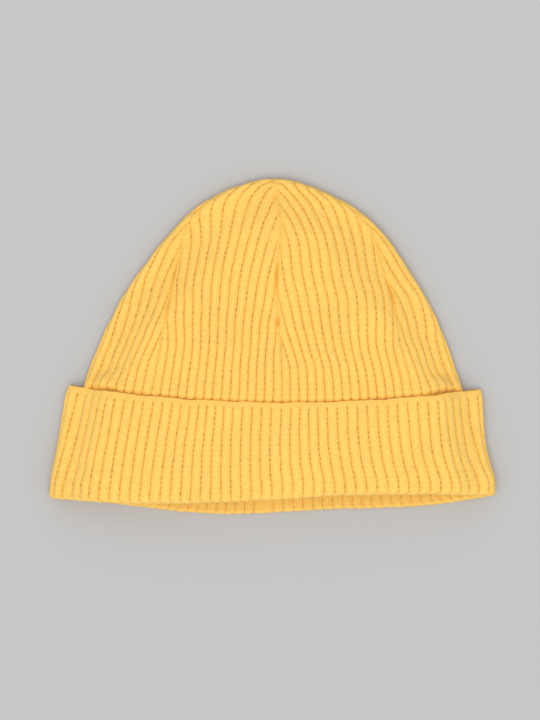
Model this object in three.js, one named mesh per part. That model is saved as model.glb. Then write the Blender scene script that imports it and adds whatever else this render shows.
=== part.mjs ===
// A ribbed knit cap with a turned-up cuff, lying flat on its back.
// Millimetres. X runs across the cap, Y from the mouth to the top of the crown, Z up from the ground.
// The origin is on the ground, under the middle of the cap.

import * as THREE from 'three';

// Driving dimensions
const WALL = 2.6; // thickness of the ribbed knit
const LAYER_GAP = 0.3; // air between the cuff and the crown inside it
const MOUTH_LEVEL = -82.4; // where the knit starts to turn up, at the side folds
const CUFF_LEVEL = -23.3; // free edge of the cuff, at the side folds
const TOP_LEVEL = 94.8; // top of the crown
const CUFF_ROW = 14; // distance between two rows of corners on the cuff
const CROWN_ROW = 8.5; // the same on the crown
const TURN_PARTS = 6; // flats round half a turn of the knit, at a fold or an edge
const SIDE_PARTS = 3; // columns from a side fold to a dart
const GORE_PARTS = 5; // columns from a dart to the middle seam
const CREASE_REACH = 2.4; // half the width of the crease along a dart
const CAP_COLOUR = 0xfbc75f;

// How the cap lies. A level is named by its height at the side folds: the knit between them hangs lower by
// the sag, and the right fold is higher than the left one by twice the tilt. Across the cap the front also
// makes one wave, down on the left and up on the right, and the back two, each as high as its swing.
const LAY = [
  { level: -84, frontSag: 1.2, backSag: 8.85, tilt: 0.8, frontSwing: 2.2, backSwing: 1 },
  { level: -55, frontSag: 4.2, backSag: 8.8, tilt: -0.5, frontSwing: 0.3, backSwing: 0 },
  { level: -24.7, frontSag: 8.2, backSag: 8.6, tilt: -1, frontSwing: 0, backSwing: 0 },
  { level: 0, frontSag: 4.6, backSag: 5.4, tilt: -0.6, frontSwing: 0, backSwing: 0 },
  { level: 40, frontSag: 2.6, backSag: 2.8, tilt: 0, frontSwing: 0, backSwing: 0 },
  { level: 80, frontSag: 0.8, backSag: 0.8, tilt: 0, frontSwing: 0, backSwing: 0 },
  { level: 94.8, frontSag: 0, backSag: 0, tilt: 0, frontSwing: 0, backSwing: 0 },
];

// Sections of the cuff: outer half width, how far right its middle is, radius of its side folds, heights of
// its back and of its front, and how far in from a side fold the front takes to reach that height
const CUFF = [
  { level: -84, halfWidth: 126, centre: -0.1, fold: 7.2, floor: 0, top: 21.6, shoulder: 17 },
  { level: -75, halfWidth: 125.3, centre: 0.1, fold: 6.9, floor: 0, top: 22, shoulder: 17 },
  { level: -62, halfWidth: 122, centre: -0.4, fold: 6, floor: 0, top: 22.4, shoulder: 17 },
  { level: -46, halfWidth: 119.4, centre: 0, fold: 4.8, floor: 0, top: 22.6, shoulder: 19.5 },
  { level: -24.7, halfWidth: 117.2, centre: 1.3, fold: 3.8, floor: 0, top: 22.4, shoulder: 23 },
];

// Sections of the crown, which lies inside the cuff up to the cuff's edge and on the ground above it
const CROWN = [
  { level: -84, halfWidth: 122.9, centre: -0.1, fold: 4.2, floor: 2.9, top: 18.5, shoulder: 19 },
  { level: -75, halfWidth: 121.4, centre: 0.1, fold: 3.8, floor: 2.9, top: 18.7, shoulder: 19 },
  { level: -62, halfWidth: 115.9, centre: -0.2, fold: 3.2, floor: 2.9, top: 19.2, shoulder: 19 },
  { level: -46, halfWidth: 110.4, centre: 0, fold: 3.2, floor: 2.9, top: 19.4, shoulder: 19 },
  { level: -28, halfWidth: 107.4, centre: 0.2, fold: 3.2, floor: 2.9, top: 19.4, shoulder: 19 },
  { level: -22, halfWidth: 106.2, centre: 0.4, fold: 3.3, floor: 2.9, top: 19.3, shoulder: 19 },
  { level: -10, halfWidth: 102.2, centre: 0.4, fold: 3.5, floor: 0, top: 19.6, shoulder: 20 },
  { level: 4.5, halfWidth: 96.7, centre: 0.7, fold: 3.7, floor: 0, top: 19.8, shoulder: 23 },
  { level: 22.5, halfWidth: 88.4, centre: 1.0, fold: 3.9, floor: 0, top: 19.4, shoulder: 26 },
  { level: 40.4, halfWidth: 77.3, centre: 1.4, fold: 4.1, floor: 0, top: 18.4, shoulder: 28 },
  { level: 58.4, halfWidth: 64.6, centre: 2.3, fold: 4.3, floor: 0, top: 16.8, shoulder: 28 },
  { level: 71.9, halfWidth: 52.2, centre: 2.0, fold: 4.5, floor: 0, top: 14.8, shoulder: 28 },
  { level: 80.9, halfWidth: 40.4, centre: 1.1, fold: 4.6, floor: 0, top: 12.6, shoulder: 28 },
  { level: 88.2, halfWidth: 25.8, centre: 0.4, fold: 4.6, floor: 0, top: 9.8, shoulder: 28 },
  { level: 94.8, halfWidth: 0, centre: 1.6, fold: 4.6, floor: 0, top: 9.2, shoulder: 28 },
];

// Where the darts run up a face: the middle one by its distance right of the centre, the others as shares of
// the half width. The crease is how deep they draw the front in.
const DARTS = [
  { level: -84, middle: 0, left: 0.667, right: 0.667, crease: 0 },
  { level: -40, middle: 3.5, left: 0.64, right: 0.71, crease: 0 },
  { level: -14, middle: 4.9, left: 0.626, right: 0.733, crease: 0 },
  { level: 6, middle: 3.8, left: 0.65, right: 0.732, crease: 0.2 },
  { level: 18, middle: 2.1, left: 0.66, right: 0.75, crease: 0.8 },
  { level: 28, middle: 1.5, left: 0.685, right: 0.78, crease: 1.3 },
  { level: 39, middle: 1.3, left: 0.725, right: 0.804, crease: 1.5 },
  { level: 50, middle: 0.7, left: 0.772, right: 0.83, crease: 1.2 },
  { level: 61, middle: 2.1, left: 0.835, right: 0.89, crease: 0.9 },
  { level: 70.5, middle: 2.2, left: 0.905, right: 0.945, crease: 0.6 },
  { level: 78, middle: 2.4, left: 0.945, right: 0.99, crease: 0.3 },
  { level: 94.8, middle: -0.2, left: 0.99, right: 0.99, crease: 0 },
];

const knit = new THREE.MeshStandardMaterial({ color: CAP_COLOUR, roughness: 0.9, metalness: 0 });

// A table's columns at any level, on smooth curves through its rows. The half width is smoothed as its
// square, which keeps the top of the crown round.
function smoothTable(rows) {
  const names = Object.keys(rows[0]).filter((name) => name !== 'level');
  const sample = (row, name) => (name === 'halfWidth' ? row[name] ** 2 : row[name]);
  const samples = rows.flatMap((row) => names.map((name) => sample(row, name)));
  const curves = new THREE.CubicInterpolant(rows.map((row) => row.level), samples, names.length);
  return (level) => {
    const values = Array.from(curves.evaluate(level));
    const section = Object.fromEntries(names.map((name, index) => [name, values[index]]));
    if ('halfWidth' in section) section.halfWidth = Math.sqrt(Math.max(section.halfWidth, 0));
    if ('floor' in section) section.floor = Math.max(section.floor, 0);
    return section;
  };
}

const layAt = smoothTable(LAY);
const cuffAt = smoothTable(CUFF);
const crownAt = smoothTable(CROWN);
const dartsAt = smoothTable(DARTS);

// How many times as far it is across a section as it is straight in from the outline
function lean(sectionAt, level) {
  const below = sectionAt(level - 0.5).halfWidth;
  const above = sectionAt(Math.min(level + 0.5, TOP_LEVEL)).halfWidth;
  return Math.hypot(1, above - below);
}

// Columns across a face from one seam to the next, with one close to each so that its crease stays narrow
function columnsBetween(from, to, parts) {
  const width = to - from;
  const close = Math.min(CREASE_REACH, 0.2 * width);
  const columns = [from];
  for (let part = 0; part <= parts; part += 1) {
    columns.push(from + close + (width - 2 * close) * part / parts);
  }
  return columns;
}

// One closed ring of corners round a layer at a level, at some depth into the knit from its outer face. The
// squeeze is the share of its full thickness that the cap keeps there, under 1 only where the crown closes.
function ring(layer, level, depth, squeeze = 1) {
  const section = layer.sectionAt(level);
  const lay = layAt(level);
  const darts = dartsAt(level);
  const slope = lean(layer.sectionAt, level);
  const halfWidth = Math.max(section.halfWidth - depth * slope, 0.5);
  const reach = Math.min((section.fold - depth) * slope, halfWidth);
  const half = (section.fold - depth) * squeeze;
  const middle = section.floor + section.fold;
  const rise = Math.max(section.top - section.floor - 2 * section.fold, 0) * squeeze;
  const flat = halfWidth - reach;

  const onFace = (column) => THREE.MathUtils.clamp(column, -0.96 * flat, 0.96 * flat);
  const left = onFace(-darts.left * section.halfWidth);
  const seam = onFace(darts.middle);
  const right = onFace(darts.right * section.halfWidth);
  const columns = [
    ...columnsBetween(-flat, left, SIDE_PARTS),
    ...columnsBetween(left, seam, GORE_PARTS),
    ...columnsBetween(seam, right, GORE_PARTS),
    ...columnsBetween(right, flat, SIDE_PARTS),
    flat,
  ];
  const crease = layer.creased ? darts.crease * squeeze : 0;
  const drawnIn = (x) => ([left, seam, right].includes(x) ? crease : 0);
  const shoulder = section.shoulder * slope;
  const bulge = (x) => rise * THREE.MathUtils.smoothstep((flat - Math.abs(x)) / shoulder, 0, 1);

  const hang = (x, inFront) => {
    const across = x / halfWidth;
    const sag = (inFront ? lay.frontSag : lay.backSag) * (1 - across ** 2);
    const frontSwing = lay.frontSwing * Math.sin(Math.PI * across);
    const backSwing = lay.backSwing * Math.sin(2 * Math.PI * across);
    return lay.tilt * across - sag + (inFront ? frontSwing : backSwing);
  };
  const corner = (x, z, inFront) => new THREE.Vector3(section.centre + x, level + hang(x, inFront), z);
  const turn = (side) => {
    const corners = [];
    for (let part = 1; part < TURN_PARTS; part += 1) {
      const angle = Math.PI * (0.5 - part / TURN_PARTS);
      const x = side * (flat + reach * Math.cos(angle));
      corners.push(corner(x, middle + half * Math.sin(angle), angle > 0));
    }
    return corners;
  };
  return [
    ...columns.map((x) => corner(x, middle + half + bulge(x) - drawnIn(x), true)),
    ...turn(1),
    ...columns.toReversed().map((x) => corner(x, middle - half, false)),
    ...turn(-1).toReversed(),
  ];
}

// Levels from one to another in even steps, both ends included
function levels(from, to, step) {
  const parts = Math.max(Math.round(Math.abs(to - from) / step), 1);
  return Array.from({ length: parts + 1 }, (unused, part) => from + (to - from) * part / parts);
}

// A closed mesh through rings of corners. Its ends are joined to each other, or each closed on a point.
function skin(rings, name, tip) {
  const around = rings[0].length;
  const corners = rings.flat();
  const triangles = [];
  const bridge = (row, next) => {
    for (let column = 0; column < around; column += 1) {
      const beside = (column + 1) % around;
      const a = row * around + column;
      const b = row * around + beside;
      const c = next * around + beside;
      const d = next * around + column;
      triangles.push(a, b, c, a, c, d);
    }
  };
  rings.slice(1).forEach((unused, row) => bridge(row, row + 1));
  if (tip) {
    const last = rings.length - 1;
    corners.push(tip.outer, tip.inner);
    for (let column = 0; column < around; column += 1) {
      const beside = (column + 1) % around;
      triangles.push(last * around + column, last * around + beside, corners.length - 2);
      triangles.push(beside, column, corners.length - 1);
    }
  } else {
    bridge(rings.length - 1, 0);
  }
  const geometry = new THREE.BufferGeometry().setFromPoints(corners);
  geometry.setIndex(triangles);
  geometry.computeVertexNormals();
  const mesh = new THREE.Mesh(geometry, knit);
  mesh.name = name;
  return mesh;
}

// The turned-up band: down its outer face, round the fold at the mouth, up its inner face, over its free edge
function buildCuff() {
  const layer = { sectionAt: cuffAt, creased: false };
  const edge = WALL / 2;
  const foldDepth = WALL + LAYER_GAP / 2;
  const rings = levels(CUFF_LEVEL - edge, MOUTH_LEVEL, CUFF_ROW).map((level) => ring(layer, level, 0));
  for (let part = 1; part <= TURN_PARTS; part += 1) {
    const angle = Math.PI * part / TURN_PARTS;
    const level = MOUTH_LEVEL - foldDepth * Math.sin(angle);
    rings.push(ring(layer, level, foldDepth * (1 - Math.cos(angle))));
  }
  rings.push(ring(layer, MOUTH_LEVEL, WALL + LAYER_GAP));
  rings.push(ring(layer, MOUTH_LEVEL - LAYER_GAP / 2, foldDepth));
  levels(MOUTH_LEVEL, CUFF_LEVEL - edge, CUFF_ROW).forEach((level) => rings.push(ring(layer, level, WALL)));
  for (let part = 1; part < TURN_PARTS / 2; part += 1) {
    const angle = 2 * Math.PI * part / TURN_PARTS;
    rings.push(ring(layer, CUFF_LEVEL - edge + edge * Math.sin(angle), edge * (1 + Math.cos(angle))));
  }
  return skin(rings.reverse(), 'cuff');
}

// The body of the cap: its two faces meet at the mouth, and each closes on a point of its own at the top
function buildCrown() {
  const layer = { sectionAt: crownAt, creased: true };
  const fold = crownAt(TOP_LEVEL).fold;
  const face = (depth) => {
    const heights = levels(MOUTH_LEVEL + LAYER_GAP, TOP_LEVEL - fold, CROWN_ROW);
    const rows = heights.map((level) => ring(layer, level, depth));
    for (const degrees of [30, 55, 75]) {
      const angle = THREE.MathUtils.degToRad(degrees);
      rows.push(ring(layer, TOP_LEVEL - fold + (fold - depth) * Math.sin(angle), depth, Math.cos(angle)));
    }
    return rows;
  };
  const tip = (depth) => new THREE.Vector3(crownAt(TOP_LEVEL).centre, TOP_LEVEL - depth, fold);
  return skin([...face(WALL).reverse(), ...face(0)], 'crown', { outer: tip(0), inner: tip(WALL) });
}

const cap = new THREE.Group();
cap.add(buildCrown(), buildCuff());

export default cap;
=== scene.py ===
"""A ribbed knit cap with a turned-up cuff, lying flat on its back.

Sizes are in millimetres until a mesh is made, and the meshes are in metres. X runs across the cap, Y from the
mouth to the top of the crown, Z up from the ground. A level is a height on the cap, named by its Y at the
side folds, because the knit between the folds hangs lower. Ribs are counted round the cap from the middle of
its back, over the left fold, the front and the right fold; a whole number is a groove between two ribs.
"""

import logging
import math
from dataclasses import dataclass, field
from enum import Enum
from typing import Any, Sequence

import bpy
import numpy as np
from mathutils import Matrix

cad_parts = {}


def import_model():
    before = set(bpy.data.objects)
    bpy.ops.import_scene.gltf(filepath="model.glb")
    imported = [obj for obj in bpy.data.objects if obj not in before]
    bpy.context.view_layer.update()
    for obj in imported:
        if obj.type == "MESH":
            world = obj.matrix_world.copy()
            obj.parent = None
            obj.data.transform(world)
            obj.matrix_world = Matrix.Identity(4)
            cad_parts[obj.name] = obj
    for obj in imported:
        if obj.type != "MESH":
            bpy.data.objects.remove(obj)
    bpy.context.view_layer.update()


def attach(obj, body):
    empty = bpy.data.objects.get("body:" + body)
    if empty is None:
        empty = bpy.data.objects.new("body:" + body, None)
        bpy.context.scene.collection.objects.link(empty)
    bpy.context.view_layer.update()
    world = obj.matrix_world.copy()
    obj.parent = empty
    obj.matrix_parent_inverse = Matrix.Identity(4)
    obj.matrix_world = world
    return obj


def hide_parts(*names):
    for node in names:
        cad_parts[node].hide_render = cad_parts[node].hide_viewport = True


LOG = logging.getLogger("knit_cap")

MM = 0.001  # metres in a millimetre
WALL = 2.6  # thickness of the ribbed knit
LAYER_GAP = 0.3  # air between the cuff and the crown inside it
MOUTH_LEVEL = -82.4  # where the knit starts to turn up
CUFF_LEVEL = -23.3  # free edge of the cuff
TOP_LEVEL = 94.8  # top of the crown
RIBS = 90  # ribs round the cap
GORES = 6  # gores that the crown's darts part it into
GORE_RIBS = RIBS // GORES
RIB_WIDTH = 5.2  # about the width of a rib
COURSE = 3.17  # distance between two holes of a groove
HIDDEN_LEVEL = -29.0  # the crown is fully detailed above this, inside the top of the cuff

Span = tuple[float, float]  # where something starts and where it ends
Colour = tuple[float, float, float]
Change = tuple[float, float, float, float]  # between which values a look changes, and from what to what
Socket = bpy.types.NodeSocket

# The ends of the crown and the cuff overlap inside the mouth, on two rows: how far each reaches there, how
# deep it sinks, and how many courses that takes
TUCK_REACH = np.array([0.5, 1.0])
TUCK_DEPTH = np.array([0.35, 0.9])
TUCK_COURSES = np.array([0.16, 0.32])

# Across the cap the front makes one wave, down on the left and up on the right, and the back two, each as
# high as its swing
LAY_COLUMNS = ("front_sag", "back_sag", "tilt", "front_swing", "back_swing")
LAY_ROWS = (
    (-84.0, 1.2, 8.85, 0.8, 2.2, 1.0),
    (-55.0, 4.2, 8.8, -0.5, 0.3, 0.0),
    (-24.7, 8.2, 8.6, -1.0, 0.0, 0.0),
    (0.0, 4.6, 5.4, -0.6, 0.0, 0.0),
    (40.0, 2.6, 2.8, 0.0, 0.0, 0.0),
    (80.0, 0.8, 0.8, 0.0, 0.0, 0.0),
    (94.8, 0.0, 0.0, 0.0, 0.0, 0.0),
)
LOWEST_LEVEL = LAY_ROWS[0][0]  # where the tables start, a little under the mouth

SECTION_COLUMNS = ("half_width", "centre", "fold", "floor", "top", "shoulder")
CUFF_ROWS = (
    (-84.0, 126.0, -0.1, 7.2, 0.0, 21.6, 17.0),
    (-75.0, 125.3, 0.1, 6.9, 0.0, 22.0, 17.0),
    (-62.0, 122.0, -0.4, 6.0, 0.0, 22.4, 17.0),
    (-46.0, 119.4, 0.0, 4.8, 0.0, 22.6, 19.5),
    (-24.7, 117.2, 1.3, 3.8, 0.0, 22.4, 23.0),
)
CROWN_ROWS = (
    (-84.0, 122.9, -0.1, 4.2, 2.9, 18.5, 19.0),
    (-75.0, 121.4, 0.1, 3.8, 2.9, 18.7, 19.0),
    (-62.0, 115.9, -0.2, 3.2, 2.9, 19.2, 19.0),
    (-46.0, 110.4, 0.0, 3.2, 2.9, 19.4, 19.0),
    (-28.0, 107.4, 0.2, 3.2, 2.9, 19.4, 19.0),
    (-22.0, 106.2, 0.4, 3.3, 2.9, 19.3, 19.0),
    (-10.0, 102.2, 0.4, 3.5, 0.0, 19.6, 20.0),
    (4.5, 96.7, 0.7, 3.7, 0.0, 19.8, 23.0),
    (22.5, 88.4, 1.0, 3.9, 0.0, 19.4, 26.0),
    (40.4, 77.3, 1.4, 4.1, 0.0, 18.4, 28.0),
    (58.4, 64.6, 2.3, 4.3, 0.0, 16.8, 28.0),
    (71.9, 52.2, 2.0, 4.5, 0.0, 14.8, 28.0),
    (80.9, 40.4, 1.1, 4.6, 0.0, 12.6, 28.0),
    (88.2, 25.8, 0.4, 4.6, 0.0, 9.8, 28.0),
    (94.8, 0.0, 1.6, 4.6, 0.0, 9.2, 28.0),
)

# The darts on the front: the middle one by its distance right of the centre, the others as shares of the half
# width
DART_COLUMNS = ("middle", "left", "right")
DART_ROWS = (
    (-84.0, 0.0, 0.667, 0.667),
    (-40.0, 3.5, 0.645, 0.715),
    (-14.0, 4.9, 0.642, 0.738),
    (6.0, 3.9, 0.652, 0.736),
    (16.0, 2.4, 0.67, 0.757),
    (27.0, 1.6, 0.692, 0.783),
    (38.0, 0.9, 0.732, 0.802),
    (49.0, 0.9, 0.78, 0.828),
    (60.0, 1.8, 0.842, 0.876),
    (71.0, 3.0, 0.915, 0.93),
    (78.0, 3.0, 0.952, 0.965),
    (94.8, -0.1, 0.985, 0.985),
)

# How many ribs have ended at each side of a seam by each level. Left and right are the cap's as it lies.
LOSS_COLUMNS = ("middle_left", "middle_right", "left_inner", "left_outer", "right_inner", "right_outer")
LOSS_ROWS = (
    (-6.0, 0.0, 0.0, 0.0, 0.0, 0.0, 0.0),
    (0.0, 0.1, 0.4, 0.05, 0.25, 0.0, 0.05),
    (10.0, 0.55, 1.0, 0.4, 0.8, 0.3, 0.4),
    (19.0, 1.0, 1.4, 0.8, 1.25, 0.6, 0.85),
    (28.0, 1.5, 1.75, 1.1, 1.65, 0.9, 1.35),
    (38.0, 1.95, 2.1, 1.4, 2.1, 1.15, 1.95),
    (50.0, 2.4, 2.6, 1.7, 2.6, 1.45, 2.55),
    (60.0, 2.75, 3.05, 2.05, 3.1, 1.75, 3.1),
    (66.0, 3.05, 3.5, 2.5, 3.6, 2.0, 3.6),
    (71.0, 3.4, 3.95, 3.05, 4.1, 2.35, 4.1),
    (78.0, 4.05, 4.6, 3.9, 4.9, 3.1, 4.9),
    (83.0, 4.6, 5.1, 4.6, 5.5, 3.9, 5.5),
    (88.0, 5.3, 5.8, 5.4, 6.1, 4.9, 6.1),
    (91.2, 6.1, 6.5, 6.2, 6.7, 6.1, 6.7),
    (94.8, 7.5, 7.5, 7.5, 7.5, 7.5, 7.5),
)


class Seam(Enum):
    """The six seams between the crown's gores, in the order in which the ribs are counted."""

    BACK_MIDDLE = 0
    BACK_LEFT = 1
    FRONT_LEFT = 2
    FRONT_MIDDLE = 3
    FRONT_RIGHT = 4
    BACK_RIGHT = 5

    @property
    def sides(self) -> tuple[str, str]:
        """Name the columns of ribs that have ended beside the seam.

        Returns:
            The column for the side that is counted first, and the one for the other.
        """
        return {
            Seam.BACK_MIDDLE: ("middle_right", "middle_left"),
            Seam.BACK_LEFT: ("left_outer", "left_outer"),
            Seam.FRONT_LEFT: ("left_outer", "left_inner"),
            Seam.FRONT_MIDDLE: ("middle_left", "middle_right"),
            Seam.FRONT_RIGHT: ("right_inner", "right_outer"),
            Seam.BACK_RIGHT: ("right_outer", "right_outer"),
        }[self]


class Turn(Enum):
    """Which way a sheet of quads faces, seen with its ribs counted rightwards."""

    UPWARDS = 1
    DOWNWARDS = -1


def smooth_step(value: np.ndarray, low: float, high: float) -> np.ndarray:
    """Rise smoothly from 0 at low to 1 at high.

    Args:
        value: The numbers to place between the two bounds.
        low: Where the rise starts.
        high: Where it ends.

    Returns:
        The share of the rise at each number.
    """
    share = np.clip((value - low) / (high - low), 0.0, 1.0)
    return share * share * (3.0 - 2.0 * share)


def bell(value: np.ndarray, middle: float, reach: float) -> np.ndarray:
    """Give a soft bump at each number, which is 1 at its middle and fades over its reach."""
    return np.exp(-(((value - middle) / reach) ** 2))


def lengths(lines: np.ndarray) -> np.ndarray:
    """Measure how far it is along some lines to each of their points.

    Args:
        lines: The points, by their order along a line first and by X, Y and Z last.

    Returns:
        The length to each point.
    """
    steps = np.linalg.norm(np.diff(lines, axis=0), axis=-1)
    return np.concatenate([np.zeros_like(steps[:1]), np.cumsum(steps, axis=0)])


def points_along(line: np.ndarray, run: np.ndarray, wanted: np.ndarray) -> np.ndarray:
    """Read the points at some lengths along a line.

    Args:
        line: The line's points.
        run: The length to each of them.
        wanted: The lengths to read it at.

    Returns:
        The points there.
    """
    return np.stack([np.interp(wanted, run, line[:, axis]) for axis in range(3)], axis=-1)


def columns_along(lines: np.ndarray, run: np.ndarray, wanted: np.ndarray) -> np.ndarray:
    """Read the points at some lengths along each of some lines.

    Args:
        lines: The points, by their order along a line and by line.
        run: The length to each of them.
        wanted: The lengths to read each line at.

    Returns:
        The points there, by length and by line.
    """
    columns = [points_along(lines[:, at], run[:, at], wanted[:, at]) for at in range(lines.shape[1])]
    return np.stack(columns, axis=1)


def ribs_from_back(ribs: np.ndarray) -> np.ndarray:
    """Count how many ribs away the middle of the back is."""
    return np.minimum(ribs, RIBS - ribs)


def placed(name: str, data: Any) -> bpy.types.Object:
    """Make an object of a mesh, a light or a camera, and put it in the scene.

    Args:
        name: The object's name.
        data: The mesh, the light or the camera.

    Returns:
        The object.
    """
    made = bpy.data.objects.new(name, data)
    bpy.context.collection.objects.link(made)
    return made


class SmoothTable:
    """A table of named columns by level, read on smooth curves through its rows."""

    def __init__(self, columns: Sequence[str], rows: Sequence[Sequence[float]]) -> None:
        """Keep the rows.

        Args:
            columns: The names of the columns after the level.
            rows: The rows, each with its level first.
        """
        table = np.array(rows, dtype=float)
        self.levels = table[:, 0]
        self.values = {name: table[:, place + 1] for place, name in enumerate(columns)}

    def at(self, name: str, level: np.ndarray) -> np.ndarray:
        """Read a column.

        Args:
            name: The column.
            level: The levels to read it at.

        Returns:
            Its value at each level. A half width is smoothed as its square, which keeps the top round.
        """
        if name == "half_width":
            return np.sqrt(np.maximum(self._curve(self.values[name] ** 2, level), 0.0))
        if name == "floor":
            return np.maximum(self._curve(self.values[name], level), 0.0)
        return self._curve(self.values[name], level)

    def _curve(self, values: np.ndarray, level: np.ndarray) -> np.ndarray:
        """Follow the cubic curve through the values, with each row's slope that between its neighbours.

        Args:
            values: The value of each row.
            level: The levels to read the curve at.

        Returns:
            The curve's value at each level.
        """
        steps = self.levels
        level = np.clip(level, steps[0], steps[-1])
        here = np.clip(np.searchsorted(steps, level, side="right") - 1, 0, len(steps) - 2)
        before = np.where(here > 0, here - 1, here + 1)
        after = np.where(here + 2 < len(steps), here + 2, here)
        half = (steps[here + 1] - steps[here]) / 2
        into = half / (steps[here] - steps[before])
        out = half / (steps[after] - steps[here + 1])
        p = (level - steps[here]) / (2 * half)
        return (
            (-into * p**3 + 2 * into * p**2 - into * p) * values[before]
            + ((1 + into) * p**3 - (1.5 + 2 * into) * p**2 + (into - 0.5) * p + 1) * values[here]
            + (-(1 + out) * p**3 + (1.5 + out) * p**2 + 0.5 * p) * values[here + 1]
            + (out * p**3 - out * p**2) * values[after]
        )


LAY = SmoothTable(LAY_COLUMNS, LAY_ROWS)
DARTS = SmoothTable(DART_COLUMNS, DART_ROWS)
LOSS = SmoothTable(LOSS_COLUMNS, LOSS_ROWS)


def ribs_ended(gore: int, level: np.ndarray) -> tuple[np.ndarray, np.ndarray]:
    """Count the ribs of a gore that have ended.

    Args:
        gore: The gore, by the seam that it follows.
        level: The levels to count at.

    Returns:
        How many have ended at the seam that it follows, and at the next.
    """
    after = LOSS.at(Seam(gore).sides[1], level)
    before = LOSS.at(Seam((gore + 1) % GORES).sides[0], level)
    half = GORE_RIBS / 2
    return np.clip(after, 0.0, half), np.clip(before, 0.0, half)


@dataclass(frozen=True)
class Way:
    """Where a face of the knit runs: its level, its depth in the knit, and how much the cap closes there."""

    level: np.ndarray
    depth: np.ndarray
    squeeze: np.ndarray

    @classmethod
    def of(cls, level: Sequence[float], depth: Any = 0.0, squeeze: Any = 1.0) -> "Way":
        """Make a way from its levels, with a depth and a squeeze for each or for all."""
        steps = np.asarray(level, dtype=float)
        return cls(steps, np.broadcast_to(depth, steps.shape), np.broadcast_to(squeeze, steps.shape))

    def then(self, other: "Way") -> "Way":
        """Go on along another way."""
        pairs = ((self.level, other.level), (self.depth, other.depth), (self.squeeze, other.squeeze))
        return Way(*(np.concatenate(pair) for pair in pairs))


@dataclass(frozen=True)
class Spot:
    """A place on the front with a soft edge: its middle, its reach each way, and how strong it is."""

    x: float
    y: float
    reach_x: float
    reach_y: float
    strength: float

    def at(self, x: np.ndarray, y: np.ndarray) -> np.ndarray:
        """Give its strength at each place."""
        return self.strength * bell(x, self.x, self.reach_x) * bell(y, self.y, self.reach_y)


class Loops:
    """Closed lines round a layer, one for each step of a way, from the middle of its back over its front."""

    def __init__(self, points: np.ndarray, across: np.ndarray, folds: tuple[int, int]) -> None:
        """Measure the length along each loop to each of its points.

        Args:
            points: The points, by loop and by their order along it.
            across: How far right of the section's centre each point is.
            folds: Which point of a loop lies on the left fold, and which on the right.
        """
        self.points = points
        self.across = across
        self.folds = folds
        self.arc = lengths(points.swapaxes(0, 1)).T

    def front_arc(self, across: np.ndarray) -> np.ndarray:
        """Find a place on the front.

        Args:
            across: How far right of the section's centre it is, for each loop.

        Returns:
            The length along each loop to that place.
        """
        left, right = self.folds
        front = slice(left, right + 1)
        rows = zip(across, self.across, self.arc)
        return np.array([np.interp(place, xs[front], arc[front]) for place, xs, arc in rows])

    def points_at(self, arcs: np.ndarray) -> np.ndarray:
        """Read the points at some lengths along each loop.

        Args:
            arcs: The lengths, one row for each loop.

        Returns:
            The points, one row for each loop.
        """
        return np.array([points_along(*row) for row in zip(self.points, self.arc, arcs)])


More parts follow.
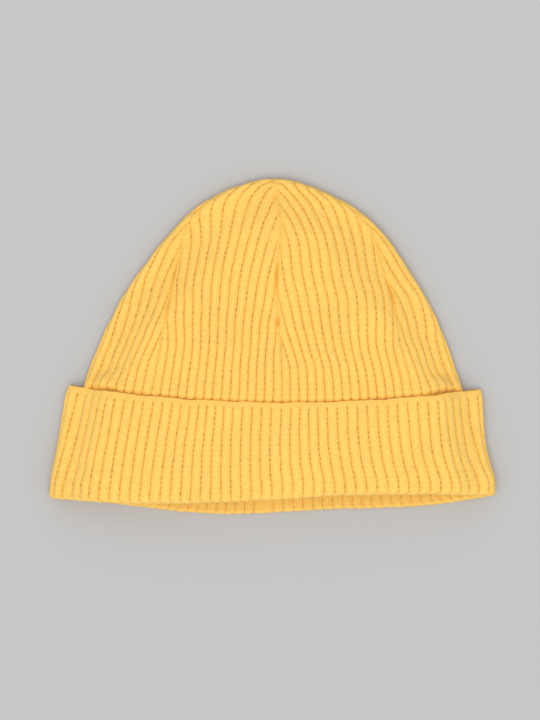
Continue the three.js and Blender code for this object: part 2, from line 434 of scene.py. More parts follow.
@dataclass(frozen=True)
class Layer:
    """A layer of the flattened cap: the sections of its outer face, and the dents in its front."""

    sections: SmoothTable
    dents: tuple[Spot, ...] = ()
    back_middle: float = -5.0
    narrowest: float = 0.5
    back_parts: int = 70
    turn_parts: int = 24
    front_parts: int = 300

    def loops(self, way: Way) -> Loops:
        """Draw a loop round the layer at each step of a way.

        Args:
            way: The levels and depths to draw it at.

        Returns:
            The loops, from the middle of the back over the left fold, the front and the right fold.
        """
        read = {name: self.sections.at(name, way.level)[:, None] for name in SECTION_COLUMNS}
        lean = self._lean(way.level)[:, None]
        depth = way.depth[:, None]
        squeeze = way.squeeze[:, None]
        half_width = np.maximum(read["half_width"] - depth * lean, self.narrowest)
        reach = np.minimum((read["fold"] - depth) * lean, half_width)
        half = (read["fold"] - depth) * squeeze
        middle = read["floor"] + read["fold"]
        rise = np.maximum(read["top"] - read["floor"] - 2 * read["fold"], 0.0) * squeeze
        flat = half_width - reach

        back_x = self.back_middle * smooth_step(-way.level, -TOP_LEVEL, -CUFF_LEVEL)[:, None]
        back_x = np.clip(back_x, -0.5 * flat, 0.5 * flat)
        share = np.linspace(0.0, 1.0, self.back_parts, endpoint=False)
        angle = np.linspace(-0.5 * np.pi, 0.5 * np.pi, self.turn_parts, endpoint=False)
        face = np.linspace(-1.0, 1.0, self.front_parts, endpoint=False)
        bulge = smooth_step((flat - np.abs(flat * face)) / (read["shoulder"] * lean), 0.0, 1.0)
        turn = reach * np.cos(angle)
        climb = half * np.sin(angle)
        back = (middle - half) * np.ones_like(share)
        # The stretches of a loop: where each is across and up, and whether it belongs to the front
        stretches = (
            (back_x + (-flat - back_x) * share, back, 0 * share),
            (-flat - turn, middle + climb, angle > 0),
            (flat * face, middle + half + rise * bulge, np.ones_like(face)),
            (flat + turn, middle - climb, angle < 0),
            (flat + (back_x - flat) * share, back, 0 * share),
            (back_x, middle - half, np.zeros(1)),
        )
        x, z, front = (np.concatenate(parts, axis=-1) for parts in zip(*stretches))
        y = way.level[:, None] + self._hang(way.level, x / half_width, front)
        x_there = read["centre"] + x
        for dent in self.dents:
            z = z - front * squeeze * dent.at(x_there, y)
        left = self.back_parts + self.turn_parts // 2
        right = left + self.turn_parts + self.front_parts
        return Loops(np.stack([x_there, y, z], axis=2), x, (left, right))

    def _hang(self, level: np.ndarray, across: np.ndarray, front: np.ndarray) -> np.ndarray:
        """Say how far up from its level each point lies.

        Args:
            level: The level of each loop.
            across: How far right of the middle each point is, as a share of the half width.
            front: Over 0 for the points of the front.

        Returns:
            The distances, under 0 where the knit hangs down.
        """
        lay = {name: LAY.at(name, level)[:, None] for name in LAY_COLUMNS}
        sag = 1 - across**2
        front_hang = lay["front_swing"] * np.sin(np.pi * across) - lay["front_sag"] * sag
        back_hang = lay["back_swing"] * np.sin(2 * np.pi * across) - lay["back_sag"] * sag
        return lay["tilt"] * across + np.where(front > 0, front_hang, back_hang)

    def _lean(self, level: np.ndarray) -> np.ndarray:
        """Say how many times as far it is across a section as it is straight in from the outline.

        Args:
            level: The level of each section.

        Returns:
            The ratio at each level.
        """
        below = self.sections.at("half_width", level - 0.5)
        above = self.sections.at("half_width", np.minimum(level + 0.5, TOP_LEVEL))
        return np.hypot(1.0, above - below)


@dataclass(frozen=True)
class Pinch:
    """Where on the front the ribs crowd together: how far right it is, its reach, and by what share."""

    x: float
    reach: float
    share: float


def round_arcs(
    loops: Loops,
    ribs: np.ndarray,
    middle: np.ndarray,
    pinches: Sequence[Pinch] = (),
    fade: np.ndarray | float = 1.0,
) -> np.ndarray:
    """Place ribs evenly round the cap on each side, apart from some pinches.

    Args:
        loops: The loops to place them on.
        ribs: The ribs to place, counted from the middle of the back.
        middle: How far right of the centre the middle of the front is, for each loop.
        pinches: Where the ribs crowd.
        fade: How much of the pinches shows, for each loop or for all.

    Returns:
        The length along each loop to each rib.
    """
    crowd = np.ones_like(loops.arc)
    left, right = loops.folds
    for pinch in pinches:
        near = bell(loops.across, pinch.x, pinch.reach)
        near[:, :left] = 0.0
        near[:, right:] = 0.0
        crowd += np.reshape(fade, (-1, 1)) * near * pinch.share / (1 - pinch.share)
    steps = np.diff(loops.arc, axis=1) * (crowd[:, 1:] + crowd[:, :-1]) / 2
    count = np.concatenate([np.zeros((len(steps), 1)), np.cumsum(steps, axis=1)], axis=1)
    arcs = np.empty((len(steps), len(ribs)))
    for row, at_middle in enumerate(loops.front_arc(middle)):
        half = np.interp(at_middle, loops.arc[row], count[row])
        wanted = np.interp(ribs, [0, RIBS / 2, RIBS], [0, half, count[row, -1]])
        arcs[row] = np.interp(wanted, count[row], loops.arc[row])
    return arcs


class GorePlan:
    """Where the six gores of the crown and their ribs lie on each loop."""

    FEWEST_RIBS = 0.01  # in a gore where all have ended, so that nothing is divided by 0
    MOST_SHARE = 0.9  # of the ribs of a gore round a side fold, on the front

    def __init__(self, loops: Loops, way: Way, crowding: float) -> None:
        """Find the seams.

        Args:
            loops: The loops round the crown.
            way: The way that they follow.
            crowding: How many times as wide the ribs between a side fold and a dart are as those beyond it.
        """
        left_fold, right_fold = self.folds = tuple(loops.arc[:, fold] for fold in loops.folds)
        half_width = loops.across[:, loops.folds[1]]
        total = loops.arc[:, -1]
        front_middle = loops.front_arc(DARTS.at("middle", way.level) * way.squeeze)
        left = loops.front_arc(-DARTS.at("left", way.level) * half_width)
        right = loops.front_arc(DARTS.at("right", way.level) * half_width)
        ribs = {
            seam: np.maximum(GORE_RIBS - sum(ribs_ended(seam.value, way.level)), self.FEWEST_RIBS)
            for seam in Seam
        }
        left_ribs = (left - left_fold) / (front_middle - left) * ribs[Seam.FRONT_LEFT] / crowding
        right_ribs = (right_fold - right) / (right - front_middle) * ribs[Seam.FRONT_MIDDLE] / crowding
        self.left_share = np.minimum(left_ribs / ribs[Seam.BACK_LEFT], self.MOST_SHARE)
        self.right_share = np.minimum(right_ribs / ribs[Seam.FRONT_RIGHT], self.MOST_SHARE)
        back_left = left_fold / (2 - self.left_share)
        back_right = total - (total - right_fold) / (2 - self.right_share)
        self.seams = np.stack([0 * total, back_left, left, front_middle, right, back_right, total], axis=1)

    def arcs(self, gore: int, places: np.ndarray) -> np.ndarray:
        """Place ribs in a gore.

        Args:
            gore: Which gore, by the seam that it follows.
            places: Shares of the gore's width, from 0 at the seam that it follows to 1 at the next.

        Returns:
            The length along each loop to each rib.
        """
        start, end = self.seams[:, gore], self.seams[:, gore + 1]
        found = np.empty(places.shape)
        for row in range(len(places)):
            if gore == Seam.BACK_LEFT.value:
                knots = ([0, 1 - self.left_share[row], 1], [start[row], self.folds[0][row], end[row]])
            elif gore == Seam.FRONT_RIGHT.value:
                knots = ([0, self.right_share[row], 1], [start[row], self.folds[1][row], end[row]])
            else:
                knots = ([0, 1], [start[row], end[row]])
            found[row] = np.interp(places[row], *knots)
        return found


@dataclass(frozen=True)
class Weave:
    """How finely a face is divided: rows of corners to a course, and columns of corners across a rib."""

    row_parts: int
    phases: tuple[float, ...]

    def ribs(self, count: int) -> np.ndarray:
        """List the columns of corners across some ribs."""
        return np.array([rib + phase for rib in range(count) for phase in self.phases])


FINE = Weave(4, (0.0, 0.06, 0.14, 0.3, 0.5, 0.7, 0.86, 0.94))
PLAIN = Weave(2, (0.0, 0.14, 0.5, 0.86))
BARE = Weave(1, (0.0, 0.5))


@dataclass(frozen=True)
class Corner:
    """A corner of a mesh: its number, and its rib and course."""

    number: int
    rib: float
    course: float


@dataclass(frozen=True)
class Ring:
    """A closed ring of corners: their numbers and ribs, and their course."""

    numbers: np.ndarray
    ribs: np.ndarray
    course: float

    def corner(self, place: int) -> tuple[int, float]:
        """Give the number and rib of the corner at a place, counting on past the end."""
        turns, step = divmod(place, len(self.numbers))
        return int(self.numbers[step]), float(self.ribs[step] + turns * RIBS)


class KnitMesh:
    """A mesh in the making, with what its knit relief and its finish need to know about each corner."""

    # The last attribute is how much painted shade a corner gets: orange up to 1, and dark past it
    ATTRIBUTES = ("rib", "course", "relief", "holes", "sink", "warm")
    TIE = 1e-5  # courses that keep corners of one height in their order

    def __init__(self) -> None:
        """Start with no corners."""
        self.points: list[np.ndarray] = []
        self.values: dict[str, list[np.ndarray]] = {name: [] for name in self.ATTRIBUTES}
        self.faces: list[tuple[int, ...]] = []
        self.uvs: list[tuple[float, float]] = []
        self.count = 0

    def add_points(self, points: np.ndarray, **values: Any) -> np.ndarray:
        """Add corners.

        Args:
            points: Their places, in millimetres, in an array of any shape.
            values: The attributes of the same shape, or one number for all; those left out are 0.

        Returns:
            Their numbers, in an array of that shape.
        """
        shape = points.shape[:-1]
        self.points.append(points.reshape(-1, 3))
        for name in self.ATTRIBUTES:
            self.values[name].append(np.broadcast_to(values.get(name, 0.0), shape).reshape(-1))
        numbers = np.arange(self.count, self.count + math.prod(shape)).reshape(shape)
        self.count += numbers.size
        return numbers

    def add_sheet(self, numbers: np.ndarray, rib: np.ndarray, course: np.ndarray, turn: Turn) -> None:
        """Join a grid of corners with quads, leaving out those with a corner missing.

        Args:
            numbers: The corners' numbers by row and column, under 0 where one is missing.
            rib: The rib of each corner.
            course: The course of each corner.
            turn: Which way the sheet faces.
        """
        corners = ((0, 0), (0, 1), (1, 1), (1, 0))[:: turn.value]
        rows, columns = numbers.shape
        pick = [(slice(r, rows - 1 + r), slice(c, columns - 1 + c)) for r, c in corners]
        quads = np.stack([numbers[place] for place in pick], axis=-1).reshape(-1, 4)
        uvs = np.stack([np.stack([rib[place], course[place]], axis=-1) for place in pick], axis=-2)
        uvs = uvs.reshape(-1, 4, 2)
        whole = (quads >= 0).all(axis=1)
        self.faces += [tuple(quad) for quad in quads[whole].tolist()]
        self.uvs += [tuple(uv) for uv in uvs[whole].reshape(-1, 2).tolist()]

    def add_rows(self, numbers: np.ndarray, ribs: np.ndarray, course: Any, turn: Turn) -> None:
        """Join rows of corners all round the cap.

        Args:
            numbers: The corners' numbers by row and column.
            ribs: The rib of each column.
            course: The course of each row.
            turn: Which way the sheet faces.
        """
        wrapped = np.concatenate([numbers, numbers[:, :1]], axis=1)
        rib = np.broadcast_to(np.append(ribs, RIBS), wrapped.shape)
        self.add_sheet(wrapped, rib, np.broadcast_to(np.reshape(course, (-1, 1)), wrapped.shape), turn)

    def add_zip(self, left: Sequence[Corner], right: Sequence[Corner]) -> None:
        """Fill the strip between two upward lines of corners with triangles.

        The corners are taken upwards, and each is joined to those before it that it sees past its own line.

        Args:
            left: The corners of the left line.
            right: The corners of the right line.
        """
        climb = [
            (corner.course + order * self.TIE, side, corner)
            for side, line in enumerate((left, right))
            for order, corner in enumerate(line)
        ]
        climb.sort(key=lambda step: step[0])
        waiting = climb[:2]
        for step in climb[2:]:
            if step[1] != waiting[-1][1] or step is climb[-1]:
                for below, above in zip(waiting, waiting[1:]):
                    self._add_triangle(below, above, step)
                waiting = [waiting[-1], step]
                continue
            turn = 1 if step[1] == 1 else -1
            while len(waiting) > 1 and turn * self._turn(waiting[-2], waiting[-1], step) > 0:
                self._add_triangle(waiting[-2], waiting[-1], step)
                waiting.pop()
            waiting.append(step)

    @staticmethod
    def _turn(*steps: tuple[float, int, Corner]) -> float:
        """Say how far three corners turn leftwards in the knit, by its ribs and courses."""
        (y0, x0), (y1, x1), (y2, x2) = ((height, corner.rib) for height, _, corner in steps)
        return (x1 - x0) * (y2 - y0) - (y1 - y0) * (x2 - x0)

    def _add_triangle(self, *steps: tuple[float, int, Corner]) -> None:
        """Add the triangle of three corners, facing outwards."""
        corners = [(corner.number, corner.rib, corner.course) for _, _, corner in steps]
        self._add_face(corners, 1 if self._turn(*steps) > 0 else -1)

    def _add_face(self, corners: Sequence[tuple[int, float, float]], turn: int) -> None:
        """Add a face from its corners' numbers, ribs and courses, turned over where the turn is -1."""
        self.faces.append(tuple(corner[0] for corner in corners)[::turn])
        self.uvs += [corner[1:] for corner in corners][::turn]

    def add_band(self, before: Ring, after: Ring, turn: Turn) -> None:
        """Fill the band between two closed rings with triangles, in the order of their ribs.

        Args:
            before: The ring that comes first on the way.
            after: The ring that comes next.
            turn: Which way the band faces.
        """
        a = b = 0
        while a < len(before.numbers) or b < len(after.numbers):
            low, low_next = before.corner(a), before.corner(a + 1)
            high, high_next = after.corner(b), after.corner(b + 1)
            if b == len(after.numbers) or (a < len(before.numbers) and low_next[1] <= high_next[1]):
                third = (*low_next, before.course)
                a += 1
            else:
                third = (*high_next, after.course)
                b += 1
            self._add_face(((*low, before.course), third, (*high, after.course)), turn.value)

    def add_cap(self, ring: Ring, place: np.ndarray, turn: Turn) -> None:
        """Close a ring with triangles that meet in a new corner.

        Args:
            ring: The ring that comes last on the way.
            place: The place of the new corner.
            turn: Which way the triangles face.
        """
        tip = int(self.add_points(place[None, :])[0])
        for step in range(len(ring.numbers)):
            low, low_next = ring.corner(step), ring.corner(step + 1)
            corners = ((*low, ring.course), (*low_next, ring.course), (tip, low[1], ring.course))
            self._add_face(corners, turn.value)

    def finish(self, name: str) -> bpy.types.Object:
        """Make the object.

        Args:
            name: The name of the object and its mesh.

        Returns:
            The object, in the scene.
        """
        mesh = bpy.data.meshes.new(name)
        mesh.from_pydata((np.concatenate(self.points) * MM).tolist(), [], self.faces)
        for attribute in self.ATTRIBUTES:
            layer = mesh.attributes.new(attribute, "FLOAT", "POINT")
            layer.data.foreach_set("value", np.concatenate(self.values[attribute]).astype(np.float32))
        uv_map = mesh.uv_layers.new(name="knit")
        uv_map.data.foreach_set("uv", np.array(self.uvs, dtype=np.float32).ravel())
        mesh.shade_smooth()
        mesh.validate()
        return placed(name, mesh)


class Graph:
    """Short ways to add nodes to a node tree and to join them."""

    def __init__(self, tree: bpy.types.NodeTree) -> None:
        """Work on a tree."""
        self.tree = tree

    def add(self, kind: str, inputs: dict[Any, Any] | None = None, **settings: Any) -> bpy.types.Node:
        """Add a node.

        Args:
            kind: Its type.
            inputs: What goes into its inputs by name or number: an output to link, or a value.
            settings: Its own settings.

        Returns:
            The node.
        """
        node = self.tree.nodes.new(kind)
        for name, value in settings.items():
            setattr(node, name, value)
        for key, value in (inputs or {}).items():
            if isinstance(value, Socket):
                self.tree.links.new(value, node.inputs[key])
            else:
                node.inputs[key].default_value = value
        return node

    def math(self, operation: str, *values: Any) -> Socket:
        """Add a Math node and give its output."""
        return self.add("ShaderNodeMath", dict(enumerate(values)), operation=operation).outputs[0]

    def ramp(self, value: Any, low: Any, high: Any, start: Any = 0.0, end: Any = 1.0) -> Socket:
        """Add a smooth rise of a value from start at low to end at high and give its output."""
        inputs = {"Value": value, "From Min": low, "From Max": high, "To Min": start, "To Max": end}
        return self.add("ShaderNodeMapRange", inputs, interpolation_type="SMOOTHSTEP").outputs["Result"]

    def noise(self, place: Any, scale: float, detail: float, output: str = "Fac") -> Socket:
        """Add a noise texture and give an output of it."""
        inputs = {"Vector": place, "Scale": scale, "Detail": detail}
        return self.add("ShaderNodeTexNoise", inputs).outputs[output]

    def vector(self, operation: str, first: Any, second: Any) -> Socket:
        """Add a Vector Math node and give its output."""
        inputs = {0: first, "Scale" if operation == "SCALE" else 1: second}
        return self.add("ShaderNodeVectorMath", inputs, operation=operation).outputs[0]

    def combine(self, x: Any, y: Any, z: Any = 0.0) -> Socket:
        """Join three numbers to a vector and give its output."""
        return self.add("ShaderNodeCombineXYZ", {"X": x, "Y": y, "Z": z}).outputs[0]

    def chance(self, place: Any, output: str) -> Socket:
        """Add white noise and give an output of it."""
        return self.add("ShaderNodeTexWhiteNoise", {"Vector": place}).outputs[output]

    def blend(self, share: Any, first: Any, second: Any) -> Socket:
        """Add a mix of two numbers and give its output."""
        return self.math("ADD", first, self.math("MULTIPLY", share, self.math("SUBTRACT", second, first)))

    def product(self, first: Any, *others: Any) -> Socket:
        """Multiply some numbers.

        Args:
            first: The first number.
            others: The numbers to multiply it by.

        Returns:
            The output that gives the product.
        """
        for other in others:
            first = self.math("MULTIPLY", first, other)
        return first

    def from_whole(self, value: Any) -> Socket:
        """Say how far a number is from the nearest whole one, and give the output."""
        return self.math("PINGPONG", value, 0.5)

    def mapped(self, name: str) -> Socket:
        """Read an attribute of the mesh in a material."""
        return self.add("ShaderNodeAttribute", attribute_name=name).outputs["Fac"]

    def end_shape(self, shape: Socket, finish: bpy.types.Material) -> None:
        """End a Geometry Nodes tree with its shape made real, in a finish.

        Args:
            shape: The output that gives the shape.
            finish: The material of the shape.
        """
        real = self.add("GeometryNodeRealizeInstances", {"Geometry": shape})
        dressed = self.add("GeometryNodeSetMaterial", {"Geometry": real.outputs[0], "Material": finish})
        self.add("NodeGroupOutput", {0: dressed.outputs[0]})

    def end_surface(self, inputs: dict[str, Any]) -> None:
        """End a material with a Principled shader."""
        shader = self.add("ShaderNodeBsdfPrincipled", inputs)
        self.add("ShaderNodeOutputMaterial", {"Surface": shader.outputs[0]})


def new_tree(name: str, sizes: Sequence[tuple[str, str]]) -> Graph:
    """Start a Geometry Nodes tree that takes a shape and some sizes.

    Args:
        name: The tree's name.
        sizes: The sizes, each as the name of its input and of the field that holds it.

    Returns:
        The graph of the tree.
    """
    tree = bpy.data.node_groups.new(name, "GeometryNodeTree")
    tree.interface.new_socket("Geometry", in_out="INPUT", socket_type="NodeSocketGeometry")
    for label, _ in sizes:
        tree.interface.new_socket(label, in_out="INPUT", socket_type="NodeSocketFloat")
    tree.interface.new_socket("Geometry", in_out="OUTPUT", socket_type="NodeSocketGeometry")
    return Graph(tree)


def new_material(name: str) -> tuple[bpy.types.Material, Graph]:
    """Start a material without nodes.

    Args:
        name: The material's name.

    Returns:
        The material, and the graph of its nodes.
    """
    made = bpy.data.materials.new(name)
    made.use_nodes = True
    made.node_tree.nodes.clear()
    return made, Graph(made.node_tree)


@dataclass(frozen=True)
class KnitRelief:
    """The relief of the ribbed knit, in millimetres, which a node tree presses into a smooth face."""

    groove_depth: float = 0.45
    groove_share: float = 0.2  # of a rib's width, on each side of a groove's middle
    rung_share: float = 0.3  # how deep a groove is between two holes, of its full depth
    dome: float = 0.66  # how far a rib's sides fall away under its middle
    hole_depth: float = 0.5
    unevenness: float = 0.5  # share by which the depth of the grooves varies
    lumps: float = 0.3
    wander: float = 0.9  # how far the ribs stray sideways, at most about half of it
    seed: float = 4.0

    hole_share: float = 0.11  # of a rib's width, on each side of a hole's middle
    hole_slope: Span = (0.42, 0.18)  # courses from a hole's middle, at its rim and floor
    least_hole: float = 0.45  # depth of the shallowest hole, of the hole depth
    steepness: float = 1.5  # power by which a groove or a hole falls off
    roundness: float = 1.9  # power by which a rib's sides do
    groove_spread: float = 3.7  # how far apart two grooves are in the noise that varies their depth
    change_scale: float = 0.13  # scale of that noise
    lump_scale: float = 55.0
    wander_scale: float = 75.0

    INPUTS = (
        ("Groove depth", "groove_depth"),
        ("Groove share", "groove_share"),
        ("Rung share", "rung_share"),
        ("Dome", "dome"),
        ("Hole depth", "hole_depth"),
        ("Unevenness", "unevenness"),
        ("Lumps", "lumps"),
        ("Wander", "wander"),
        ("Seed", "seed"),
    )

    def tree(self, finish: bpy.types.Material) -> bpy.types.NodeTree:
        """Build the tree.

        Args:
            finish: The material that it ends with.

        Returns:
            The tree, with an input for each size.
        """
        graph = new_tree("knit relief", self.INPUTS)
        given = graph.add("NodeGroupInput").outputs
        place = graph.add("GeometryNodeInputPosition").outputs[0]
        lump = graph.math("SUBTRACT", graph.noise(place, self.lump_scale, 2.0), 0.5)
        lump = graph.math("MULTIPLY", lump, given["Lumps"])
        out = graph.math("MULTIPLY", graph.math("SUBTRACT", lump, self._depth(graph, given)), MM)
        normal = graph.add("GeometryNodeInputNormal").outputs[0]
        pressed = graph.vector("SCALE", normal, out)
        drift = graph.noise(place, self.wander_scale, 1.0, "Color")
        drift = graph.vector("SUBTRACT", drift, (0.5, 0.5, 0.5))
        strayed = graph.vector("SCALE", graph.vector("MULTIPLY", drift, (MM, MM, 0.0)), given["Wander"])
        offset = graph.vector("ADD", pressed, strayed)
        moved = graph.add("GeometryNodeSetPosition", {"Geometry": given["Geometry"], "Offset": offset})
        x, y, z = graph.add("ShaderNodeSeparateXYZ", {0: place}).outputs
        ground = graph.combine(x, y, graph.math("MAXIMUM", z, 0.0))
        rested = graph.add("GeometryNodeSetPosition", {"Geometry": moved.outputs[0], "Position": ground})
        graph.end_shape(rested.outputs[0], finish)
        return graph.tree

    def _depth(self, graph: Graph, given: Any) -> Socket:
        """Work out how deep each corner is pressed in.

        Args:
            graph: The graph of the tree.
            given: The tree's inputs.

        Returns:
            The depth, in millimetres.
        """
        read = {name: self._read(graph, name) for name in KnitMesh.ATTRIBUTES}
        aside, along = graph.from_whole(read["rib"]), graph.from_whole(read["course"])
        groove_number = graph.math("MULTIPLY", graph.math("ROUND", read["rib"]), self.groove_spread)
        change_place = graph.combine(groove_number, read["course"], given["Seed"])
        change = graph.math("SUBTRACT", graph.noise(change_place, self.change_scale, 1.0), 0.5)
        vary = graph.math("ADD", 1.0, graph.product(change, 2.0, given["Unevenness"]))
        hole = graph.ramp(along, *self.hole_slope)
        rung = graph.blend(hole, given["Rung share"], 1.0)
        groove = self._fall(graph, aside, given["Groove share"])
        cut = graph.product(groove, rung, vary, given["Groove depth"])
        side = graph.math("SUBTRACT", 1.0, graph.math("MULTIPLY", aside, 2.0))
        fall = graph.math("MULTIPLY", graph.math("POWER", side, self.roundness), given["Dome"])
        ribbed = graph.math("MULTIPLY", graph.math("ADD", cut, fall), read["relief"])
        hole_place = graph.combine(groove_number, graph.math("ROUND", read["course"]), given["Seed"])
        chance = graph.math("ADD", graph.chance(hole_place, "Value"), self.least_hole)
        narrow = self._fall(graph, aside, self.hole_share)
        pit = graph.product(narrow, hole, read["holes"], chance, given["Hole depth"])
        return graph.math("ADD", graph.math("ADD", ribbed, pit), read["sink"])

    def _fall(self, graph: Graph, aside: Socket, reach: Any) -> Socket:
        """Fall from 1 in the middle of a groove or a hole to 0 at its reach."""
        share = graph.math("MINIMUM", graph.math("DIVIDE", aside, reach), 1.0)
        return graph.math("POWER", graph.math("SUBTRACT", 1.0, share), self.steepness)

    def press(self, piece: bpy.types.Object, finish: bpy.types.Material) -> bpy.types.Object:
        """Press the relief into a piece.

        Args:
            piece: The smooth piece, which is used up.
            finish: Its material.

        Returns:
            The finished piece, a plain mesh under the same name.
        """
        sizes = {name: getattr(self, value) for name, value in self.INPUTS}
        return grown(piece, self.tree(finish), sizes)

    def _read(self, graph: Graph, name: str) -> Socket:
        """Read an attribute of the mesh."""
        node = graph.add("GeometryNodeInputNamedAttribute", {"Name": name}, data_type="FLOAT")
        return node.outputs["Attribute"]


def grown(piece: bpy.types.Object, tree: bpy.types.NodeTree, sizes: dict[str, float]) -> bpy.types.Object:
    """Run a Geometry Nodes tree on a piece and keep its result as a plain mesh.

    Args:
        piece: The piece, which is used up.
        tree: The tree to run.
        sizes: The values of the tree's inputs, by name.

    Returns:
        The new piece, under the same name.
    """
    name = piece.name
    modifier = piece.modifiers.new("grow", "NODES")
    modifier.node_group = tree
    for item in tree.interface.items_tree:
        if item.item_type == "SOCKET" and item.in_out == "INPUT" and item.name in sizes:
            modifier[item.identifier] = sizes[item.name]
    seen = piece.evaluated_get(bpy.context.evaluated_depsgraph_get())
    mesh = bpy.data.meshes.new_from_object(seen)
    piece.modifiers.clear()
    bpy.data.objects.remove(piece)
    mesh.name = name
    return placed(name, mesh)


@dataclass(frozen=True)
class KnitFinish:
    """The look of the yellow ribbed knit: its colours, the painted shade in its grooves, holes and creases,
    and its fine stitches.

    Widths are in ribs and lengths in courses.
    """

    name: str
    colour: Colour = (0.975, 0.615, 0.141)
    # Painted shade in the grooves between the ribs
    painted_groove_shade: Colour = (0.96, 0.52, 0.075)
    # Painted dark shade in the holes of the grooves
    painted_hole_shade: Colour = (0.6, 0.28, 0.035)
    # Painted orange shade in the creases, along the darts' furrows, at the cuff's edges and inside the mouth
    warm_colour: Colour = (1.0, 0.5, 0.075)
    groove_share: float = 0.5
    groove_reach: Span = (0.32, 0.02)  # from its middle, where its painted shade starts and is full
    groove_change: Change = (0.3, 0.7, 1.1, 0.55)
    groove_spread: float = 5.3  # how far apart two grooves are in the noise that varies them
    change_scale: float = 0.22  # scale of that noise
    hole_share: float = 0.65
    hole_half_width: float = 0.1
    hole_half_length: float = 0.42
    hole_stray: float = 0.09  # width within which the holes stray sideways
    hole_rim: Span = (1.25, 0.35)  # from its middle, in half sizes, as for a groove
    hole_chance: Change = (0.0, 1.0, 0.35, 1.0)
    hole_change: Change = (0.3, 0.65, 0.5, 1.1)
    wales: float = 3.0  # columns of stitches to a rib, and rows of them to a course
    stitch_lean: float = 1.1
    stitch_edge: Span = (0.0, 0.4)
    stitch_height: float = 0.6  # of a column's
    wale_edge: Span = (0.0, 0.22)
    fluff_height: float = 1.2  # of a column's
    fluff_scale: float = 1400.0
    bump_strength: float = 0.6
    bump_height: float = 0.24  # millimetres
    cloth_scale: float = 38.0
    cloth_shade: Change = (0.3, 0.7, 0.975, 1.02)
    fluff_shade: Change = (0.25, 0.75, 0.95, 1.04)
    streak_scale: tuple[float, float, float] = (5.0, 0.8, 0.0)
    streak_shade: Change = (0.3, 0.7, 0.95, 1.04)
    # Painted shade where two columns of stitches meet
    wale_painted_shade: Change = (0.0, 0.16, 0.955, 1.0)
    roughness: float = 0.85
    specular: float = 0.2
    sheen: float = 0.3
    sheen_roughness: float = 0.5
    sheen_tint: Colour = (1.0, 0.86, 0.55)

    def material(self) -> bpy.types.Material:
        """Build the material.

        Returns:
            A material that reads the ribs and courses of the piece's own UV map.
        """
        made, graph = new_material(self.name)
        uv = graph.add("ShaderNodeUVMap", uv_map="knit").outputs[0]
        rib, course, _ = graph.add("ShaderNodeSeparateXYZ", {0: uv}).outputs
        place = graph.add("ShaderNodeTexCoord").outputs["Object"]
        fluff = graph.noise(place, self.fluff_scale, 3.0)
        wale = graph.from_whole(graph.math("MULTIPLY", rib, self.wales))
        warm = graph.mapped("warm")
        groove, hole = self._groove_and_hole_shade(graph, rib, course)
        # Painted shade in the grooves between the ribs
        base = self._mix(graph, groove, self.colour, self.painted_groove_shade)
        # Painted orange shade in the creases, the darts' furrows, at the cuff's edges and inside the mouth
        base = self._mix(graph, graph.math("MINIMUM", warm, 1.0), base, self.warm_colour)
        # Painted dark shade in the holes, and at the bottom of the deepest puckers where the painted shade
        # passes 1
        dark = graph.math("MAXIMUM", hole, graph.ramp(warm, 1.0, 2.0))
        streaks = graph.noise(graph.vector("MULTIPLY", uv, self.streak_scale), 1.0, 2.0)
        shades = (
            graph.ramp(graph.noise(place, self.cloth_scale, 3.0), *self.cloth_shade),
            graph.ramp(fluff, *self.fluff_shade),
            graph.ramp(streaks, *self.streak_shade),
            graph.ramp(wale, *self.wale_painted_shade),
        )
        toned = graph.vector("SCALE", self._mix(graph, dark, base, self.painted_hole_shade), graph.product(*shades))
        graph.end_surface(
            {
                "Base Color": toned,
                "Roughness": self.roughness,
                "Specular IOR Level": self.specular,
                "Sheen Weight": self.sheen,
                "Sheen Roughness": self.sheen_roughness,
                "Sheen Tint": (*self.sheen_tint, 1.0),
                "Normal": self._bump(graph, course, wale, fluff),
            }
        )
        return made

    def _groove_and_hole_shade(
        self, graph: Graph, rib: Socket, course: Socket
    ) -> tuple[Socket, Socket]:
        """Work out how much painted shade the grooves and the holes get.

        Args:
            graph: The graph of the material.
            rib: The rib at each place.
            course: The course at each place.

        Returns:
            The share of the grooves' painted shade, and of the holes'.
        """
        groove_number = graph.math("MULTIPLY", graph.math("ROUND", rib), self.groove_spread)
        change = graph.noise(graph.combine(groove_number, course), self.change_scale, 2.0)
        hole_place = graph.combine(groove_number, graph.math("ROUND", course))
        stray = graph.math("SUBTRACT", graph.chance(hole_place, "Value"), 0.5)
        strayed = graph.math("ADD", rib, graph.math("MULTIPLY", stray, self.hole_stray))
        across = graph.math("DIVIDE", graph.from_whole(strayed), self.hole_half_width)
        down = graph.math("DIVIDE", graph.from_whole(course), self.hole_half_length)
        spread = graph.math("ADD", graph.math("POWER", across, 2.0), graph.math("POWER", down, 2.0))
        oval = graph.ramp(graph.math("SQRT", spread), *self.hole_rim)
        chance = graph.add("ShaderNodeSeparateXYZ", {0: graph.chance(hole_place, "Color")}).outputs["X"]
        depths = (graph.ramp(chance, *self.hole_chance), graph.ramp(change, *self.hole_change))
        hole = graph.product(oval, graph.mapped("holes"), *depths, self.hole_share)
        groove = graph.ramp(graph.from_whole(rib), *self.groove_reach)
        strength = graph.ramp(change, *self.groove_change)
        return graph.product(groove, graph.mapped("relief"), strength, self.groove_share), hole

    def _bump(
        self,
        graph: Graph,
        course: Socket,
        wale: Socket,
        fluff: Socket,
    ) -> Socket:
        """Bump the fine stitches, which lean both ways from the middle of their column, and their fluff.

        Args:
            graph: The graph of the material.
            course: The course at each place.
            wale: How far it is to the edge of a column.
            fluff: The noise of the fluff.

        Returns:
            The bumped normal.
        """
        lean = graph.math("MULTIPLY", wale, self.stitch_lean)
        row = graph.math("ADD", graph.math("MULTIPLY", course, self.wales), lean)
        stitch = graph.ramp(graph.from_whole(row), *self.stitch_edge, 0.0, self.stitch_height)
        loft = graph.math("ADD", graph.ramp(wale, *self.wale_edge), stitch)
        height = graph.math("ADD", loft, graph.math("MULTIPLY", fluff, self.fluff_height))
        inputs = {"Strength": self.bump_strength, "Distance": self.bump_height * MM, "Height": height}
        return graph.add("ShaderNodeBump", inputs).outputs[0]

